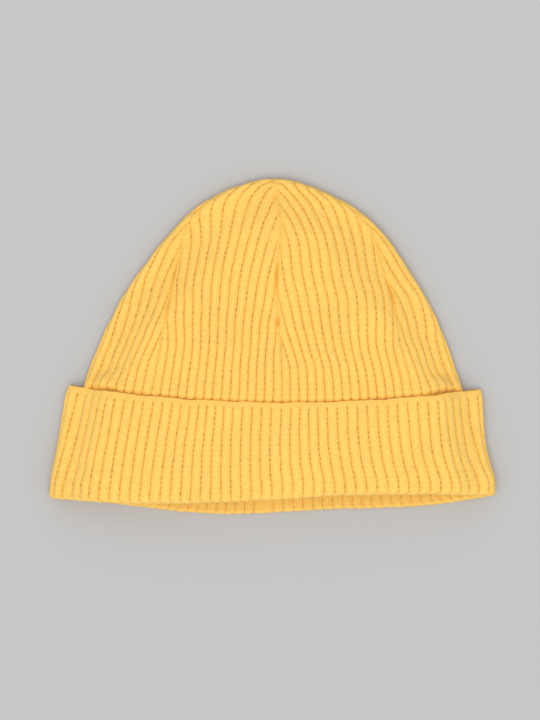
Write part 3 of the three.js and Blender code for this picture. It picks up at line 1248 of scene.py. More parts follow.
    def _mix(self, graph: Graph, share: Any, first: Any, second: Any) -> Socket:
        """Mix two colours.

        Args:
            graph: The graph of the material.
            share: How much of the second colour there is.
            first: The first colour.
            second: The second colour.

        Returns:
            The output that gives the mixed colour.
        """
        inputs = {0: share}
        for key, value in ((6, first), (7, second)):
            inputs[key] = value if isinstance(value, Socket) else (*value, 1.0)
        return graph.add("ShaderNodeMix", inputs, data_type="RGBA").outputs[2]


@dataclass(frozen=True)
class YarnFinish:
    """The look of the twisted yarn that the darts are sewn with."""

    colour: Colour = (0.88, 0.45, 0.07)
    plies: float = 1900.0
    ply_waver: float = 2.0
    ply_shade: float = 0.93  # of the colour, between two plies
    ply_height: float = 0.06  # millimetres
    bump_strength: float = 0.3
    roughness: float = 0.8
    specular: float = 0.2

    def material(self) -> bpy.types.Material:
        """Build the material.

        Returns:
            A material whose bump winds as the yarn's plies do.
        """
        made, graph = new_material("yellow sewing yarn")
        place = graph.add("ShaderNodeTexCoord").outputs["Object"]
        inputs = {"Vector": place, "Scale": self.plies, "Distortion": self.ply_waver}
        plies = graph.add("ShaderNodeTexWave", inputs).outputs["Fac"]
        inputs = {"Strength": self.bump_strength, "Distance": self.ply_height * MM, "Height": plies}
        bump = graph.add("ShaderNodeBump", inputs)
        shade = graph.ramp(plies, 0.0, 1.0, self.ply_shade, 1.0)
        graph.end_surface(
            {
                "Base Color": graph.vector("SCALE", self.colour, shade),
                "Roughness": self.roughness,
                "Specular IOR Level": self.specular,
                "Normal": bump.outputs[0],
            }
        )
        return made


@dataclass(frozen=True)
class SeamStitches:
    """The yarn stitches that draw the darts together, which a Geometry Nodes tree sets along the seams."""

    spacing: float = 2.6
    length: float = 1.9
    thickness: float = 0.36
    segments: int = 8
    rings: int = 6

    INPUTS = (("Spacing", "spacing"), ("Length", "length"), ("Thickness", "thickness"))

    def tree(self, finish: bpy.types.Material) -> bpy.types.NodeTree:
        """Build the tree.

        Args:
            finish: The yarn's material.

        Returns:
            The tree, which turns lines of edges into rows of stitches.
        """
        graph = new_tree("seam stitches", self.INPUTS)
        given = graph.add("NodeGroupInput").outputs
        thread = graph.add("GeometryNodeMeshToCurve", {"Mesh": given["Geometry"]})
        spread = {"Curve": thread.outputs[0], "Length": given["Spacing"]}
        even = graph.add("GeometryNodeResampleCurve", spread, mode="LENGTH").outputs[0]
        bead_sizes = {"Segments": self.segments, "Rings": self.rings, "Radius": 0.5}
        bead = graph.add("GeometryNodeMeshUVSphere", bead_sizes)
        bead = graph.add("GeometryNodeSetShadeSmooth", {"Geometry": bead.outputs[0]}).outputs[0]
        along = graph.add("GeometryNodeInputTangent").outputs[0]
        lie = graph.add("FunctionNodeAlignRotationToVector", {"Vector": along}, axis="Z").outputs[0]
        size = graph.combine(given["Thickness"], given["Thickness"], given["Length"])
        inputs = {"Points": even, "Instance": bead, "Rotation": lie, "Scale": size}
        graph.end_shape(graph.add("GeometryNodeInstanceOnPoints", inputs).outputs[0], finish)
        return graph.tree

    def sew(self, name: str, lines: Sequence[np.ndarray]) -> bpy.types.Object:
        """Sew along some lines.

        Args:
            name: The name of the piece.
            lines: The points of each line, in metres.

        Returns:
            The stitches, as one plain mesh.
        """
        ends = set(np.cumsum([len(line) for line in lines]).tolist())
        points = np.concatenate(lines).tolist()
        edges = [(at - 1, at) for at in range(1, len(points)) if at not in ends]
        mesh = bpy.data.meshes.new(name)
        mesh.from_pydata(points, edges, [])
        sizes = {label: getattr(self, value) * MM for label, value in self.INPUTS}
        return grown(placed(name, mesh), self.tree(YarnFinish().material()), sizes)


@dataclass(frozen=True)
class Pucker:
    """A tight fold along a dart's seam: its middle, its reach up and down, and how much deeper it is."""

    seam: Seam
    level: float
    reach: float
    depth: float

    def at(self, level: np.ndarray) -> np.ndarray:
        """Give its depth at each level."""
        return self.depth * bell(level, self.level, self.reach)


@dataclass(frozen=True)
class Swell:
    """A bulge over the cuff's edge: its height, and how far above the edge it rises and then fades."""

    height: float
    rise: Span
    fade: Span

    def at(self, level: np.ndarray) -> np.ndarray:
        """Give its height at each level."""
        above = level - CUFF_LEVEL
        return self.height * smooth_step(above, *self.rise) * (1 - smooth_step(above, *self.fade))


@dataclass(frozen=True)
class InnerFace:
    """How the knit looks inside the cap, by how many millimetres in from the mouth it is."""

    relief_at: tuple[float, ...] = (2.0, 12.0, 45.0)
    relief: tuple[float, ...] = (0.75, 0.6, 0.25)
    holes: float = 0.6
    holes_end: Span = (2.0, 9.0)
    seam_height: float = 0.9
    seam_start: Span = (4.0, 16.0)
    seam_reach: float = 0.55  # ribs
    seam_clear: float = 0.7  # ribs beside the seam over which the relief comes back
    # Painted orange shade over the whole inside
    warmth: float = 0.15

    def dress(self, inwards: np.ndarray, ribs: np.ndarray) -> dict[str, Any]:
        """Work out the attributes of its corners.

        Args:
            inwards: How far in from the mouth each row is.
            ribs: The rib of each column.

        Returns:
            The attributes by name.
        """
        from_seam = ribs_from_back(ribs)
        ribbed = 1 - bell(from_seam, 0.0, self.seam_clear)
        relief = np.interp(inwards, self.relief_at, self.relief)
        holes = self.holes * (1 - smooth_step(inwards, *self.holes_end))
        ridge = self.seam_height * bell(from_seam, 0.0, self.seam_reach)
        return {
            "relief": relief[:, None] * ribbed,
            "holes": holes[:, None] * ribbed,
            "sink": -smooth_step(inwards, *self.seam_start)[:, None] * ridge,
            "warm": self.warmth,
        }


@dataclass(frozen=True)
class SeamLine:
    """The corners along a seam from the cuff to the top: their numbers and levels."""

    numbers: np.ndarray
    level: np.ndarray


@dataclass
class Crown:
    """The body of the cap, with its ribs, the darts that gather them and its inside."""

    side_crowding: float = 1.06
    seam_reach: float = 0.95  # half the width of the furrow along a dart's seam
    seam_furrow: float = 0.8
    # Painted orange shade along a dart's furrow, more where a pucker deepens it
    seam_warmth: float = 0.3
    pucker_warmth: float = 0.5  # painted orange shade added for each millimetre that a pucker deepens the furrow
    slit_depths: Span = (1.1, 1.55)  # of a furrow, between which its bottom gets painted dark shade
    seam_fade: float = 0.2  # ribs from a seam within which the relief sinks into its furrow
    hole_fade: Span = (0.15, 0.5)  # the same for the holes, between these
    seam_margin: float = 0.09  # ribs from a seam at which a column of corners ends
    top_margin: float = 0.4  # rows left out below the top on a seam
    top_rise: float = 0.3  # courses from the highest corner to the top
    top_sink: float = 0.4
    dart_levels: Span = (3.0, 15.0)  # between which a dart's seam appears
    stitch_levels: Span = (14.0, 88.0)
    tuck_reach: Span = (0.3, 2.2)  # above the cuff, between which its painted orange shade ends
    # Painted orange shade in the crease under the cuff's edge
    tuck_warmth: float = 0.65
    swell: Swell = Swell(1.6, (-0.8, 0.9), (2.5, 11.0))
    side_swell: Swell = Swell(2.0, (-5.0, -1.0), (2.5, 13.0))  # added beside the side folds
    swell_heights: Span = (7.0, 12.0)  # above the ground, between which the swell starts
    side_swell_heights: Span = (12.0, 18.0)  # between which that beside the folds ends
    hidden_rows: int = 6
    lip_rows: int = 12  # finely divided rows inside the mouth, counted from it
    near_rows: int = 20  # rows from there to the level of the cuff's edge
    far_rows: int = 24  # rows from there to the top's turn
    inner_rise: float = 0.3  # how far past its last ring the inner face closes
    inner: InnerFace = InnerFace()
    puckers: tuple[Pucker, ...] = (
        Pucker(Seam.FRONT_MIDDLE, 42.5, 7.5, 1.15),
        Pucker(Seam.FRONT_MIDDLE, 31.0, 7.0, 0.3),
        Pucker(Seam.FRONT_MIDDLE, 17.5, 2.6, 1.1),
        Pucker(Seam.FRONT_LEFT, 42.5, 7.0, 0.95),
        Pucker(Seam.FRONT_LEFT, 25.0, 8.0, 0.7),
        Pucker(Seam.FRONT_RIGHT, 31.0, 10.0, 0.8),
    )
    dents: tuple[Spot, ...] = (
        Spot(2.6, 41.0, 2.4, 7.5, 0.8),
        Spot(3.0, 14.0, 2.6, 4.0, 0.8),
        Spot(-56.5, 31.0, 2.4, 14.0, 0.8),
        Spot(66.5, 30.0, 2.4, 10.0, 0.8),
    )
    calm: Spot = Spot(2.0, 61.5, 6.5, 4.5, 0.8)  # where the ribs hardly show
    mesh: KnitMesh = field(default_factory=KnitMesh)
    lines: dict[Seam, SeamLine] = field(default_factory=dict)

    def build(self) -> list[bpy.types.Object]:
        """Build the crown.

        Returns:
            Its knit and its stitches, finished and riding on the body.
        """
        layer = Layer(SmoothTable(SECTION_COLUMNS, CROWN_ROWS), self.dents)
        self._inside(layer, self._hidden(layer, self._face(layer)))
        smooth = self.mesh.finish("knit_crown")
        knit = KnitRelief().press(smooth, KnitFinish("yellow rib knit of the crown").material())
        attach(knit, "root")
        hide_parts("crown")
        stitches = SeamStitches().sew("dart_stitches", self._furrows(knit))
        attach(stitches, "root")
        return [knit, stitches]

    def _furrows(self, knit: bpy.types.Object) -> list[np.ndarray]:
        """Read the bottoms of the darts' furrows.

        Args:
            knit: The pressed knit.

        Returns:
            The points along each furrow, in metres.
        """
        low, high = self.stitch_levels
        found = []
        for line in self.lines.values():
            sewn = line.numbers[(line.level > low) & (line.level < high)]
            found.append(np.array([knit.data.vertices[int(number)].co for number in sewn]))
        return found

    def _face_way(self) -> Way:
        """Follow the outer face from inside the cuff over the top of the crown.

        Returns:
            The way of the face.
        """
        fold = self._top_fold()
        up = Way.of(np.linspace(HIDDEN_LEVEL, TOP_LEVEL - fold, 150))
        angle = np.radians(np.linspace(4.0, 90.0, 22))
        return up.then(Way.of(TOP_LEVEL - fold * (1 - np.sin(angle)), 0.0, np.cos(angle)))

    @staticmethod
    def _top_fold() -> float:
        """Give the radius of the turn at the top."""
        return float(SmoothTable(SECTION_COLUMNS, CROWN_ROWS).at("fold", np.array([TOP_LEVEL]))[0])

    def _face(self, layer: Layer) -> Ring:
        """Make the outer face above the cuff, gore by gore.

        Args:
            layer: The crown's sections.

        Returns:
            Its lowest ring.
        """
        way = self._face_way()
        loops = layer.loops(way)
        plan = GorePlan(loops, way, self.side_crowding)
        top = np.mean(loops.points[-1:], axis=1)
        tip = int(self.mesh.add_points(top, sink=self.top_sink)[0])
        for seam in Seam:
            self.lines[seam] = self._seam_line(seam, loops, plan, way)
        rings = [self._gore(gore, loops, plan, way, tip) for gore in range(GORES)]
        numbers, ribs = (np.concatenate(part) for part in zip(*rings))
        return Ring(numbers, ribs, 0.0)

    def _seam_line(self, seam: Seam, loops: Loops, plan: GorePlan, way: Way) -> SeamLine:
        """Add the corners along a seam.

        Args:
            seam: The seam.
            loops: The loops round the crown.
            plan: Where the gores lie.
            way: The way that the loops follow.

        Returns:
            The seam's corners.
        """
        line = loops.points_at(plan.seams[:, [seam.value]])[:, 0]
        run = lengths(line)
        spacing = COURSE / FINE.row_parts
        steps = spacing * np.arange(int(run[-1] / spacing - self.top_margin) + 1)
        places = points_along(line, run, steps)
        level = np.interp(steps, run, way.level)
        kept = 1 - self._dart(level)
        depth, warmth = self._furrow(seam, level)
        # The furrow and the crease under the cuff's edge get painted orange shade, and the bottom of a deep
        # pucker painted dark shade on top
        warmth = np.clip(warmth + self._tuck(level), 0.0, 1.0) + smooth_step(depth, *self.slit_depths)
        depth = depth - self._swell(level, places[:, 2])
        numbers = self.mesh.add_points(
            places, course=steps / COURSE, relief=kept, holes=kept, sink=depth, warm=warmth
        )
        return SeamLine(numbers, level)

    def _dart(self, level: np.ndarray) -> np.ndarray:
        """Say how much of a dart's seam there is at each level."""
        return smooth_step(level, *self.dart_levels)

    def _tuck(self, level: np.ndarray) -> np.ndarray:
        """Say how much painted orange shade the knit gets where it comes out of the cuff, in the crease under
        its edge.
        """
        return self.tuck_warmth * (1 - smooth_step(level - CUFF_LEVEL, *self.tuck_reach))

    def _swell(self, level: np.ndarray, height: np.ndarray) -> np.ndarray:
        """Say how far the front bulges over the cuff's edge at each level and height above the ground."""
        beside = self.side_swell.at(level) * (1 - smooth_step(height, *self.side_swell_heights))
        return (self.swell.at(level) + beside) * smooth_step(height, *self.swell_heights)

    def _furrow(self, seam: Seam, level: np.ndarray) -> tuple[np.ndarray, np.ndarray]:
        """Work out the furrow along a seam.

        Args:
            seam: The seam.
            level: The levels to work it out at.

        Returns:
            How deep it is at each level, and how much painted shade its colour gets.
        """
        dart = self._dart(level)
        extra = sum(pucker.at(level) for pucker in self.puckers if pucker.seam is seam)
        return dart * (self.seam_furrow + extra), dart * (self.seam_warmth + self.pucker_warmth * extra)

    def _gore(
        self, gore: int, loops: Loops, plan: GorePlan, way: Way, tip: int
    ) -> tuple[np.ndarray, np.ndarray]:
        """Make one gore of the outer face.

        Args:
            gore: Its number.
            loops: The loops round the crown.
            plan: Where the gores lie.
            way: The way that the loops follow.
            tip: The number of the corner at the top.

        Returns:
            The numbers and ribs of its lowest corners.
        """
        sides = (Seam(gore), Seam((gore + 1) % GORES))
        weave = PLAIN if Seam.BACK_MIDDLE in sides else FINE
        spacing = COURSE / weave.row_parts
        counts = weave.ribs(GORE_RIBS)[1:]
        middle = int(np.argmin(np.abs(counts - GORE_RIBS / 2)))
        first, second = (ended[:, None] for ended in ribs_ended(gore, way.level))
        left = np.maximum(GORE_RIBS - first - second, plan.FEWEST_RIBS)
        lines = loops.points_at(plan.arcs(gore, np.clip((counts - first) / left, 0.0, 1.0)))
        run = lengths(lines)
        last = self._last_rows(np.minimum(counts - first, GORE_RIBS - second - counts), run / spacing, middle)

        rows = np.arange(last.max() + 1)[:, None]
        wanted = np.broadcast_to(rows * spacing, (len(rows), len(counts)))
        places = columns_along(lines, run, wanted)
        level = np.stack([np.interp(wanted[:, 0], column, way.level) for column in run.T], axis=1)
        rib = np.broadcast_to(gore * GORE_RIBS + counts, level.shape)
        course = np.broadcast_to(rows / weave.row_parts, level.shape)
        values = {"rib": rib, "course": course, **self._dress(sides, places, level, counts)}
        there = rows <= last
        numbers = np.full(level.shape, -1)
        shown = {name: value[there] for name, value in values.items()}
        numbers[there] = self.mesh.add_points(places[there], **shown)
        self.mesh.add_sheet(numbers, rib, course, Turn.UPWARDS)

        def stair(columns: Sequence[int]) -> list[Corner]:
            """List the corners along the free edge of the columns.

            Args:
                columns: The columns, from the outermost to the middle one.

            Returns:
                The corners.
            """
            corners = []
            start = 0
            for column in columns:
                for row in range(start, last[column] + 1):
                    number = int(numbers[row, column])
                    corners.append(Corner(number, rib[row, column], course[row, column]))
                start = last[column]
            return corners

        def seam_side(side: int) -> list[Corner]:
            """List the corners along a seam as this gore counts them, up to the top.

            Args:
                side: 0 for the seam that the gore follows, 1 for the next.

            Returns:
                The corners.
            """
            line = self.lines[sides[side]]
            start, turn = ((0, 1), (GORE_RIBS, -1))[side]
            reached = start + turn * ribs_ended(gore, way.level)[side]
            knit = [np.interp(count, counts, row) / COURSE for count, row in zip(reached, run)]
            courses = np.interp(line.level, way.level, knit)
            ribs = gore * GORE_RIBS + start + turn * ribs_ended(gore, line.level)[side]
            corners = [Corner(int(number), *rest) for number, *rest in zip(line.numbers, ribs, courses)]
            high = max(float(courses[-1]), float(run[-1, middle]) / COURSE) + self.top_rise
            return corners + [Corner(tip, (gore + 0.5) * GORE_RIBS, high)]

        self.mesh.add_zip(seam_side(0), stair(range(middle + 1)))
        self.mesh.add_zip(stair(range(len(counts) - 1, middle - 1, -1)), seam_side(1))
        low = np.concatenate([self.lines[sides[0]].numbers[:1], numbers[0]])
        return low, gore * GORE_RIBS + np.concatenate([[0.0], counts])

    def _last_rows(self, left_over: np.ndarray, run: np.ndarray, middle: int) -> np.ndarray:
        """Find where each column of a gore ends.

        Args:
            left_over: How many ribs there are between each column and the nearer seam, for each loop.
            run: How many rows each column has up to each loop.
            middle: The column in the middle of the gore, towards which they grow longer.

        Returns:
            The last row of each column.
        """
        ends = [np.interp(-self.seam_margin, -over, rows) for over, rows in zip(left_over.T, run.T)]
        last = np.array(ends).astype(int)
        last[: middle + 1] = np.minimum.accumulate(last[: middle + 1][::-1])[::-1]
        last[middle:] = np.minimum.accumulate(last[middle:])
        return last

    def _dress(
        self, sides: tuple[Seam, Seam], places: np.ndarray, level: np.ndarray, counts: np.ndarray
    ) -> dict[str, np.ndarray]:
        """Work out the attributes of a gore's corners.

        Args:
            sides: The seams on its two sides.
            places: Its corners.
            level: Their levels.
            counts: How many ribs from the gore's start each column is.

        Returns:
            The attributes by name.
        """
        first, second = ribs_ended(sides[0].value, level)
        beside = [np.maximum(away, 0.0) for away in (counts - first, GORE_RIBS - second - counts)]
        nearest = np.minimum(*beside)
        kept = 1 - self._dart(level) * (1 - smooth_step(nearest, 0.0, self.seam_fade))
        if Seam.FRONT_MIDDLE in sides:
            kept = kept * (1 - self.calm.at(places[..., 0], places[..., 1]))
        sink = -self._swell(level, places[..., 2])
        # Painted orange shade in the crease under the cuff's edge and beside the darts' furrows
        warm = self._tuck(level)
        for seam, away in zip(sides, beside):
            depth, warmth = self._furrow(seam, level)
            near = bell(away * RIB_WIDTH, 0.0, self.seam_reach)
            sink += depth * near
            warm += warmth * near
        holes = kept * (1 - self._dart(level) * (1 - smooth_step(nearest, *self.hole_fade)))
        return {"relief": kept, "holes": holes, "sink": sink, "warm": np.clip(warm, 0.0, 1.0)}

    def _hidden(self, layer: Layer, before: Ring) -> Ring:
        """Carry the outer face on down to the mouth, inside the cuff.

        Args:
            layer: The crown's sections.
            before: The lowest ring of the face above.

        Returns:
            The ring at the mouth.
        """
        level = np.linspace(HIDDEN_LEVEL, MOUTH_LEVEL, self.hidden_rows + 1)[1:]
        loops = layer.loops(Way.of(level))
        ribs = BARE.ribs(RIBS)
        places = loops.points_at(round_arcs(loops, ribs, Cuff.middle_at(level)))
        course = (level - HIDDEN_LEVEL) / COURSE
        numbers = self.mesh.add_points(places, rib=0.5)
        self.mesh.add_band(before, Ring(numbers[0], ribs, course[0]), Turn.DOWNWARDS)
        self.mesh.add_rows(numbers, ribs, course, Turn.DOWNWARDS)
        return Ring(numbers[-1], ribs, course[-1])

    def _inside(self, layer: Layer, before: Ring) -> None:
        """Make the inner face, from the mouth to the top.

        Args:
            layer: The crown's sections.
            before: The ring of the outer face at the mouth.
        """
        fold = self._top_fold()
        turn = TOP_LEVEL - fold
        spacing = COURSE / FINE.row_parts
        angle = np.radians([30.0, 55.0, 75.0])
        tuck = Way.of((MOUTH_LEVEL - TUCK_REACH)[::-1], (WALL - TUCK_DEPTH)[::-1])
        lip = Way.of(MOUTH_LEVEL + spacing * np.arange(self.lip_rows), WALL)
        near = Way.of(np.linspace(lip.level[-1], CUFF_LEVEL, self.near_rows)[1:], WALL)
        far = Way.of(np.linspace(CUFF_LEVEL, turn, self.far_rows)[1:], WALL)
        end = Way.of(turn + (fold - WALL) * np.sin(angle), WALL, np.cos(angle))
        for way, weave in ((tuck.then(lip), FINE), (near, PLAIN), (far.then(end), BARE)):
            loops = layer.loops(way)
            ribs = weave.ribs(RIBS)
            places = loops.points_at(round_arcs(loops, ribs, Cuff.middle_at(way.level) * way.squeeze))
            inwards = way.level - MOUTH_LEVEL
            course = Cuff.COURSES + inwards / COURSE
            looks = self.inner.dress(inwards, ribs)
            numbers = self.mesh.add_points(places, rib=ribs, course=course[:, None], **looks)
            self.mesh.add_band(before, Ring(numbers[0], ribs, course[0]), Turn.DOWNWARDS)
            self.mesh.add_rows(numbers, ribs, course, Turn.DOWNWARDS)
            before = Ring(numbers[-1], ribs, course[-1])
        tip = np.mean(loops.points[-1], axis=0) + (0.0, self.inner_rise, 0.0)
        self.mesh.add_cap(before, tip, Turn.DOWNWARDS)


@dataclass
class Cuff:
    """The turned-up band, with the fold at the mouth and its soft free edge."""

    COURSES = 21  # holes of a groove from the free edge round the fold
    FOLD = WALL + LAYER_GAP / 2  # radius of the outer face round the fold at the mouth
    ROLL_COURSE = 0.125  # courses to a row of the rolled edge
    HIDDEN_COURSE = -1.0  # where the face against the crown starts
    MIDDLE_GROOVE = (-0.4, -1.9)  # how far right of the centre it is, at the lowest level and at the edge

    edge_fade: Span = (0.1, 0.75)  # courses from the edge between which the ribs appear
    edge_slope: float = 0.8  # how far the face falls away towards the free edge
    edge_reach: float = 1.0  # courses from the edge at which it starts to
    # The free edge's waves: how high, how many round the cap, and where they start
    edge_waves: tuple[tuple[float, int, float], ...] = ((0.2, 17, 0.4), (0.12, 34, 1.9))
    edge_scallop: float = 0.1
    wave_reach: float = 3.0
    # Painted orange shade at the free edge, along its roll towards the crown and round the fold at the mouth
    edge_warmth: float = 0.3
    edge_warm_reach: float = 0.4  # courses from the edge at which that painted shade ends
    roll_warmth: Span = (0.2, 0.8)  # painted shade from the start of the rolled edge to its end
    roll_rows: int = 6
    fold_course: float = 19.4  # where the knit turns at the mouth, and is stretched smoother
    fold_reach: float = 1.1
    fold_fade: float = 0.5
    fold_warmth: float = 0.25
    fold_warm_courses: Span = (19.5, 21.0)  # between which that painted shade starts
    pinches: tuple[Pinch, ...] = (Pinch(-39.0, 14.0, 0.13), Pinch(18.0, 11.0, 0.13))
    back_seam: float = 0.6
    back_seam_reach: float = 0.5  # ribs
    back_seam_courses: Span = (16.0, 19.5)  # between which it ends
    mesh: KnitMesh = field(default_factory=KnitMesh)

    @staticmethod
    def middle_at(level: np.ndarray) -> np.ndarray:
        """Say how far right of the centre the middle groove of the front is at each level."""
        return np.interp(level, [LOWEST_LEVEL, CUFF_LEVEL], Cuff.MIDDLE_GROOVE)

    def build(self) -> list[bpy.types.Object]:
        """Build the cuff.

        Returns:
            Its knit, finished and riding on the body.
        """
        layer = Layer(SmoothTable(SECTION_COLUMNS, CUFF_ROWS))
        ribs = FINE.ribs(RIBS)
        shown = self._outer_face(layer, ribs)
        end = self._tucked_end(layer, ribs, shown[-1:])
        edge = self._rolled_edge(layer, ribs, shown[:1])
        self._hidden_face(layer, edge, end)
        smooth = self.mesh.finish("knit_cuff")
        piece = KnitRelief(seed=9.0).press(smooth, KnitFinish("yellow rib knit of the cuff").material())
        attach(piece, "root")
        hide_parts("cuff")
        return [piece]

    def _lines(self, layer: Layer, way: Way, ribs: np.ndarray) -> np.ndarray:
        """Place the ribs along a way, crowded at the pinches near the free edge.

        Args:
            layer: The cuff's sections.
            way: The way.
            ribs: The columns of corners.

        Returns:
            The places by step of the way and by column.
        """
        fade = np.clip((way.level - LOWEST_LEVEL) / (CUFF_LEVEL - LOWEST_LEVEL), 0.0, 1.0)
        loops = layer.loops(way)
        return loops.points_at(round_arcs(loops, ribs, self.middle_at(way.level), self.pinches, fade))

    def _edge_wave(self, ribs: np.ndarray) -> np.ndarray:
        """Shape the free edge, which waves and dips a little at each groove.

        Args:
            ribs: The columns of corners.

        Returns:
            How far up the edge is at each.
        """
        round_angle = 2 * np.pi * ribs / RIBS
        waves = [height * np.sin(round_angle * count + turn) for height, count, turn in self.edge_waves]
        return sum(waves) - self.edge_scallop * np.cos(2 * np.pi * ribs)

    def _outer_face(self, layer: Layer, ribs: np.ndarray) -> np.ndarray:
        """Make the face that shows, from the free edge round the fold.

        Args:
            layer: The cuff's sections.
            ribs: The columns of corners.

        Returns:
            The corners' numbers by row and column.
        """
        turn = np.radians(np.linspace(0.0, 180.0, 30))[1:]
        down = Way.of(np.linspace(CUFF_LEVEL - WALL / 2, MOUTH_LEVEL, 70))
        way = down.then(Way.of(MOUTH_LEVEL - self.FOLD * np.sin(turn), self.FOLD * (1 - np.cos(turn))))
        lines = self._lines(layer, way, ribs)
        run = lengths(lines)
        course = np.arange(self.COURSES * FINE.row_parts + 1)[:, None] / FINE.row_parts
        places = columns_along(lines, run, course / self.COURSES * run[-1])
        places[..., 1] += self._edge_wave(ribs) * (1 - smooth_step(course, 0.0, self.wave_reach))
        numbers = self.mesh.add_points(places, rib=ribs, course=course, **self._dress(course, ribs))
        self.mesh.add_rows(numbers, ribs, course, Turn.DOWNWARDS)
        return numbers

    def _dress(self, course: np.ndarray, ribs: np.ndarray) -> dict[str, np.ndarray]:
        """Work out the attributes of the face that shows.

        Args:
            course: The course of each row.
            ribs: The rib of each column.

        Returns:
            The attributes by name.
        """
        seam = bell(ribs_from_back(ribs), 0.0, self.back_seam_reach)
        stretch = bell(course, self.fold_course, self.fold_reach)
        relief = smooth_step(course, *self.edge_fade) * (1 - seam) * (1 - self.fold_fade * stretch)
        slope = self.edge_slope * (1 - smooth_step(course, 0.0, self.edge_reach))
        furrow = self.back_seam * seam * (1 - smooth_step(course, *self.back_seam_courses))
        # Painted orange shade at the free edge and round the fold at the mouth
        edge_warm = self.edge_warmth * (1 - smooth_step(course, 0.0, self.edge_warm_reach))
        fold_warm = self.fold_warmth * smooth_step(course, *self.fold_warm_courses)
        return {
            "relief": relief,
            "holes": relief * (1 - stretch),
            "sink": slope + furrow,
            "warm": edge_warm + fold_warm,
        }

    def _tucked_end(self, layer: Layer, ribs: np.ndarray, before: np.ndarray) -> Ring:
        """Carry the face on past the fold, into the crown's knit inside the mouth.

        Args:
            layer: The cuff's sections.
            ribs: The columns of corners.
            before: The last row of the face.

        Returns:
            The ring where it ends.
        """
        way = Way.of(MOUTH_LEVEL + TUCK_REACH, 2 * self.FOLD - TUCK_DEPTH)
        course = self.COURSES + np.append(0.0, TUCK_COURSES)
        places = self._lines(layer, way, ribs)
        numbers = self.mesh.add_points(places, rib=ribs, course=course[1:, None], relief=1.0, holes=1.0)
        self.mesh.add_rows(np.concatenate([before, numbers]), ribs, course, Turn.DOWNWARDS)
        return Ring(numbers[-1], ribs, float(course[-1]))

    def _rolled_edge(self, layer: Layer, ribs: np.ndarray, before: np.ndarray) -> Ring:
        """Roll the free edge over, towards the crown.

        Args:
            layer: The cuff's sections.
            ribs: The columns of corners.
            before: The first row of the face that shows.

        Returns:
            The ring where it ends.
        """
        roll = np.radians(np.linspace(0.0, 180.0, self.roll_rows + 1))[1:]
        depth = self.edge_slope + (WALL - self.edge_slope) / 2 * (1 - np.cos(roll))
        places = self._lines(layer, Way.of(CUFF_LEVEL - WALL / 2 * (1 - np.sin(roll)), depth), ribs)
        places[..., 1] += self._edge_wave(ribs)
        # Painted orange shade along the roll, more towards the crown
        warm = np.linspace(*self.roll_warmth, self.roll_rows)
        numbers = self.mesh.add_points(places, rib=0.5, warm=warm[:, None])
        course = -self.ROLL_COURSE * np.arange(self.roll_rows + 1)
        self.mesh.add_rows(np.concatenate([before, numbers]), ribs, course, Turn.UPWARDS)
        return Ring(numbers[-1], ribs, self.HIDDEN_COURSE)

    def _hidden_face(self, layer: Layer, edge: Ring, end: Ring) -> None:
        """Close the cuff with the face that lies against the crown.

        Args:
            layer: The cuff's sections.
            edge: The ring where the rolled edge ends.
            end: The ring where the tucked end does.
        """
        down = Way.of(np.linspace(CUFF_LEVEL - WALL / 2, MOUTH_LEVEL, 5)[1:], WALL)
        way = down.then(Way.of([MOUTH_LEVEL - LAYER_GAP / 2, MOUTH_LEVEL], [self.FOLD, WALL + LAYER_GAP]))
        ribs = PLAIN.ribs(RIBS)
        course = self.HIDDEN_COURSE - np.arange(len(way.level))
        numbers = self.mesh.add_points(self._lines(layer, way, ribs), rib=0.5)
        self.mesh.add_band(edge, Ring(numbers[0], ribs, course[0]), Turn.UPWARDS)
        self.mesh.add_rows(numbers, ribs, course, Turn.UPWARDS)
        self.mesh.add_band(end, Ring(numbers[-1], ribs, self.COURSES + 1.0), Turn.DOWNWARDS)


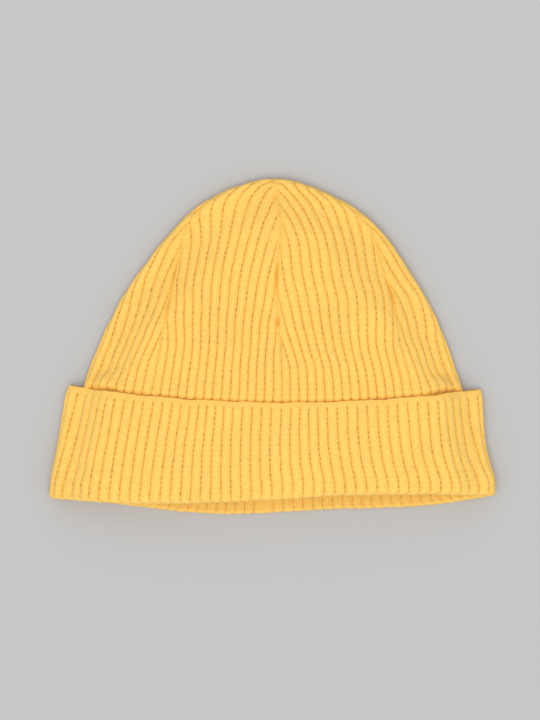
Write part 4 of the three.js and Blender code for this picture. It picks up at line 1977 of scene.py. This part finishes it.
@dataclass
class Studio:
    """The plain floor, the soft light and the camera, straight above the cap. Sizes are in metres here."""

    floor_size: float = 8.0
    floor_colour: Colour = (0.505, 0.505, 0.505)
    sky_strength: float = 0.78
    sun_strength: float = 1.2
    sun_spread: float = 45.0  # degrees
    sun_lean: tuple[float, float] = (14.0, -4.0)  # degrees about X and Y
    camera_height: float = 3.0
    frame_height: float = 0.4045
    aim: tuple[float, float, float] = (-0.0014, -0.0079, 0.012)

    def build(self) -> None:
        """Build the floor, the light and the camera."""
        self._floor()
        self._light()
        self._camera()

    def _floor(self) -> None:
        """Lay the floor that the cap rests on."""
        half = self.floor_size / 2
        mesh = bpy.data.meshes.new("floor")
        corners = [(-half, -half, 0), (half, -half, 0), (half, half, 0), (-half, half, 0)]
        mesh.from_pydata(corners, [], [(0, 1, 2, 3)])
        paper, graph = new_material("pale paper")
        colour = (*self.floor_colour, 1.0)
        graph.end_surface({"Base Color": colour, "Roughness": 1.0, "Specular IOR Level": 0.0})
        mesh.materials.append(paper)
        placed("floor", mesh)

    def _light(self) -> None:
        """Light the cap softly from all round, and a little more from the mouth's side and its left."""
        world = bpy.data.worlds.new("soft sky")
        world.use_nodes = True
        sky = world.node_tree.nodes["Background"]
        sky.inputs["Color"].default_value = (1.0, 1.0, 1.0, 1.0)
        sky.inputs["Strength"].default_value = self.sky_strength
        bpy.context.scene.world = world
        sun = bpy.data.lights.new("soft_box", "SUN")
        sun.energy = self.sun_strength
        sun.angle = math.radians(self.sun_spread)
        placed("soft_box", sun).rotation_euler = (*map(math.radians, self.sun_lean), 0.0)

    def _camera(self) -> None:
        """Look straight down, with the top of the crown at the top of the picture."""
        lens = bpy.data.cameras.new("camera")
        lens.sensor_fit = "VERTICAL"
        lens.angle = 2 * math.atan(self.frame_height / 2 / (self.camera_height - self.aim[2]))
        camera = placed("camera", lens)
        camera.location = (self.aim[0], self.aim[1], self.camera_height)
        bpy.context.scene.camera = camera
        bpy.context.scene.view_settings.view_transform = "Standard"


def main() -> None:
    """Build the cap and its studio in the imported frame."""
    logging.basicConfig(level=logging.INFO, format="%(name)s: %(message)s")
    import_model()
    for piece in Crown().build() + Cuff().build():
        LOG.info("%s: %d faces", piece.name, len(piece.data.polygons))
    Studio().build()


if __name__ == "__main__":
    main()
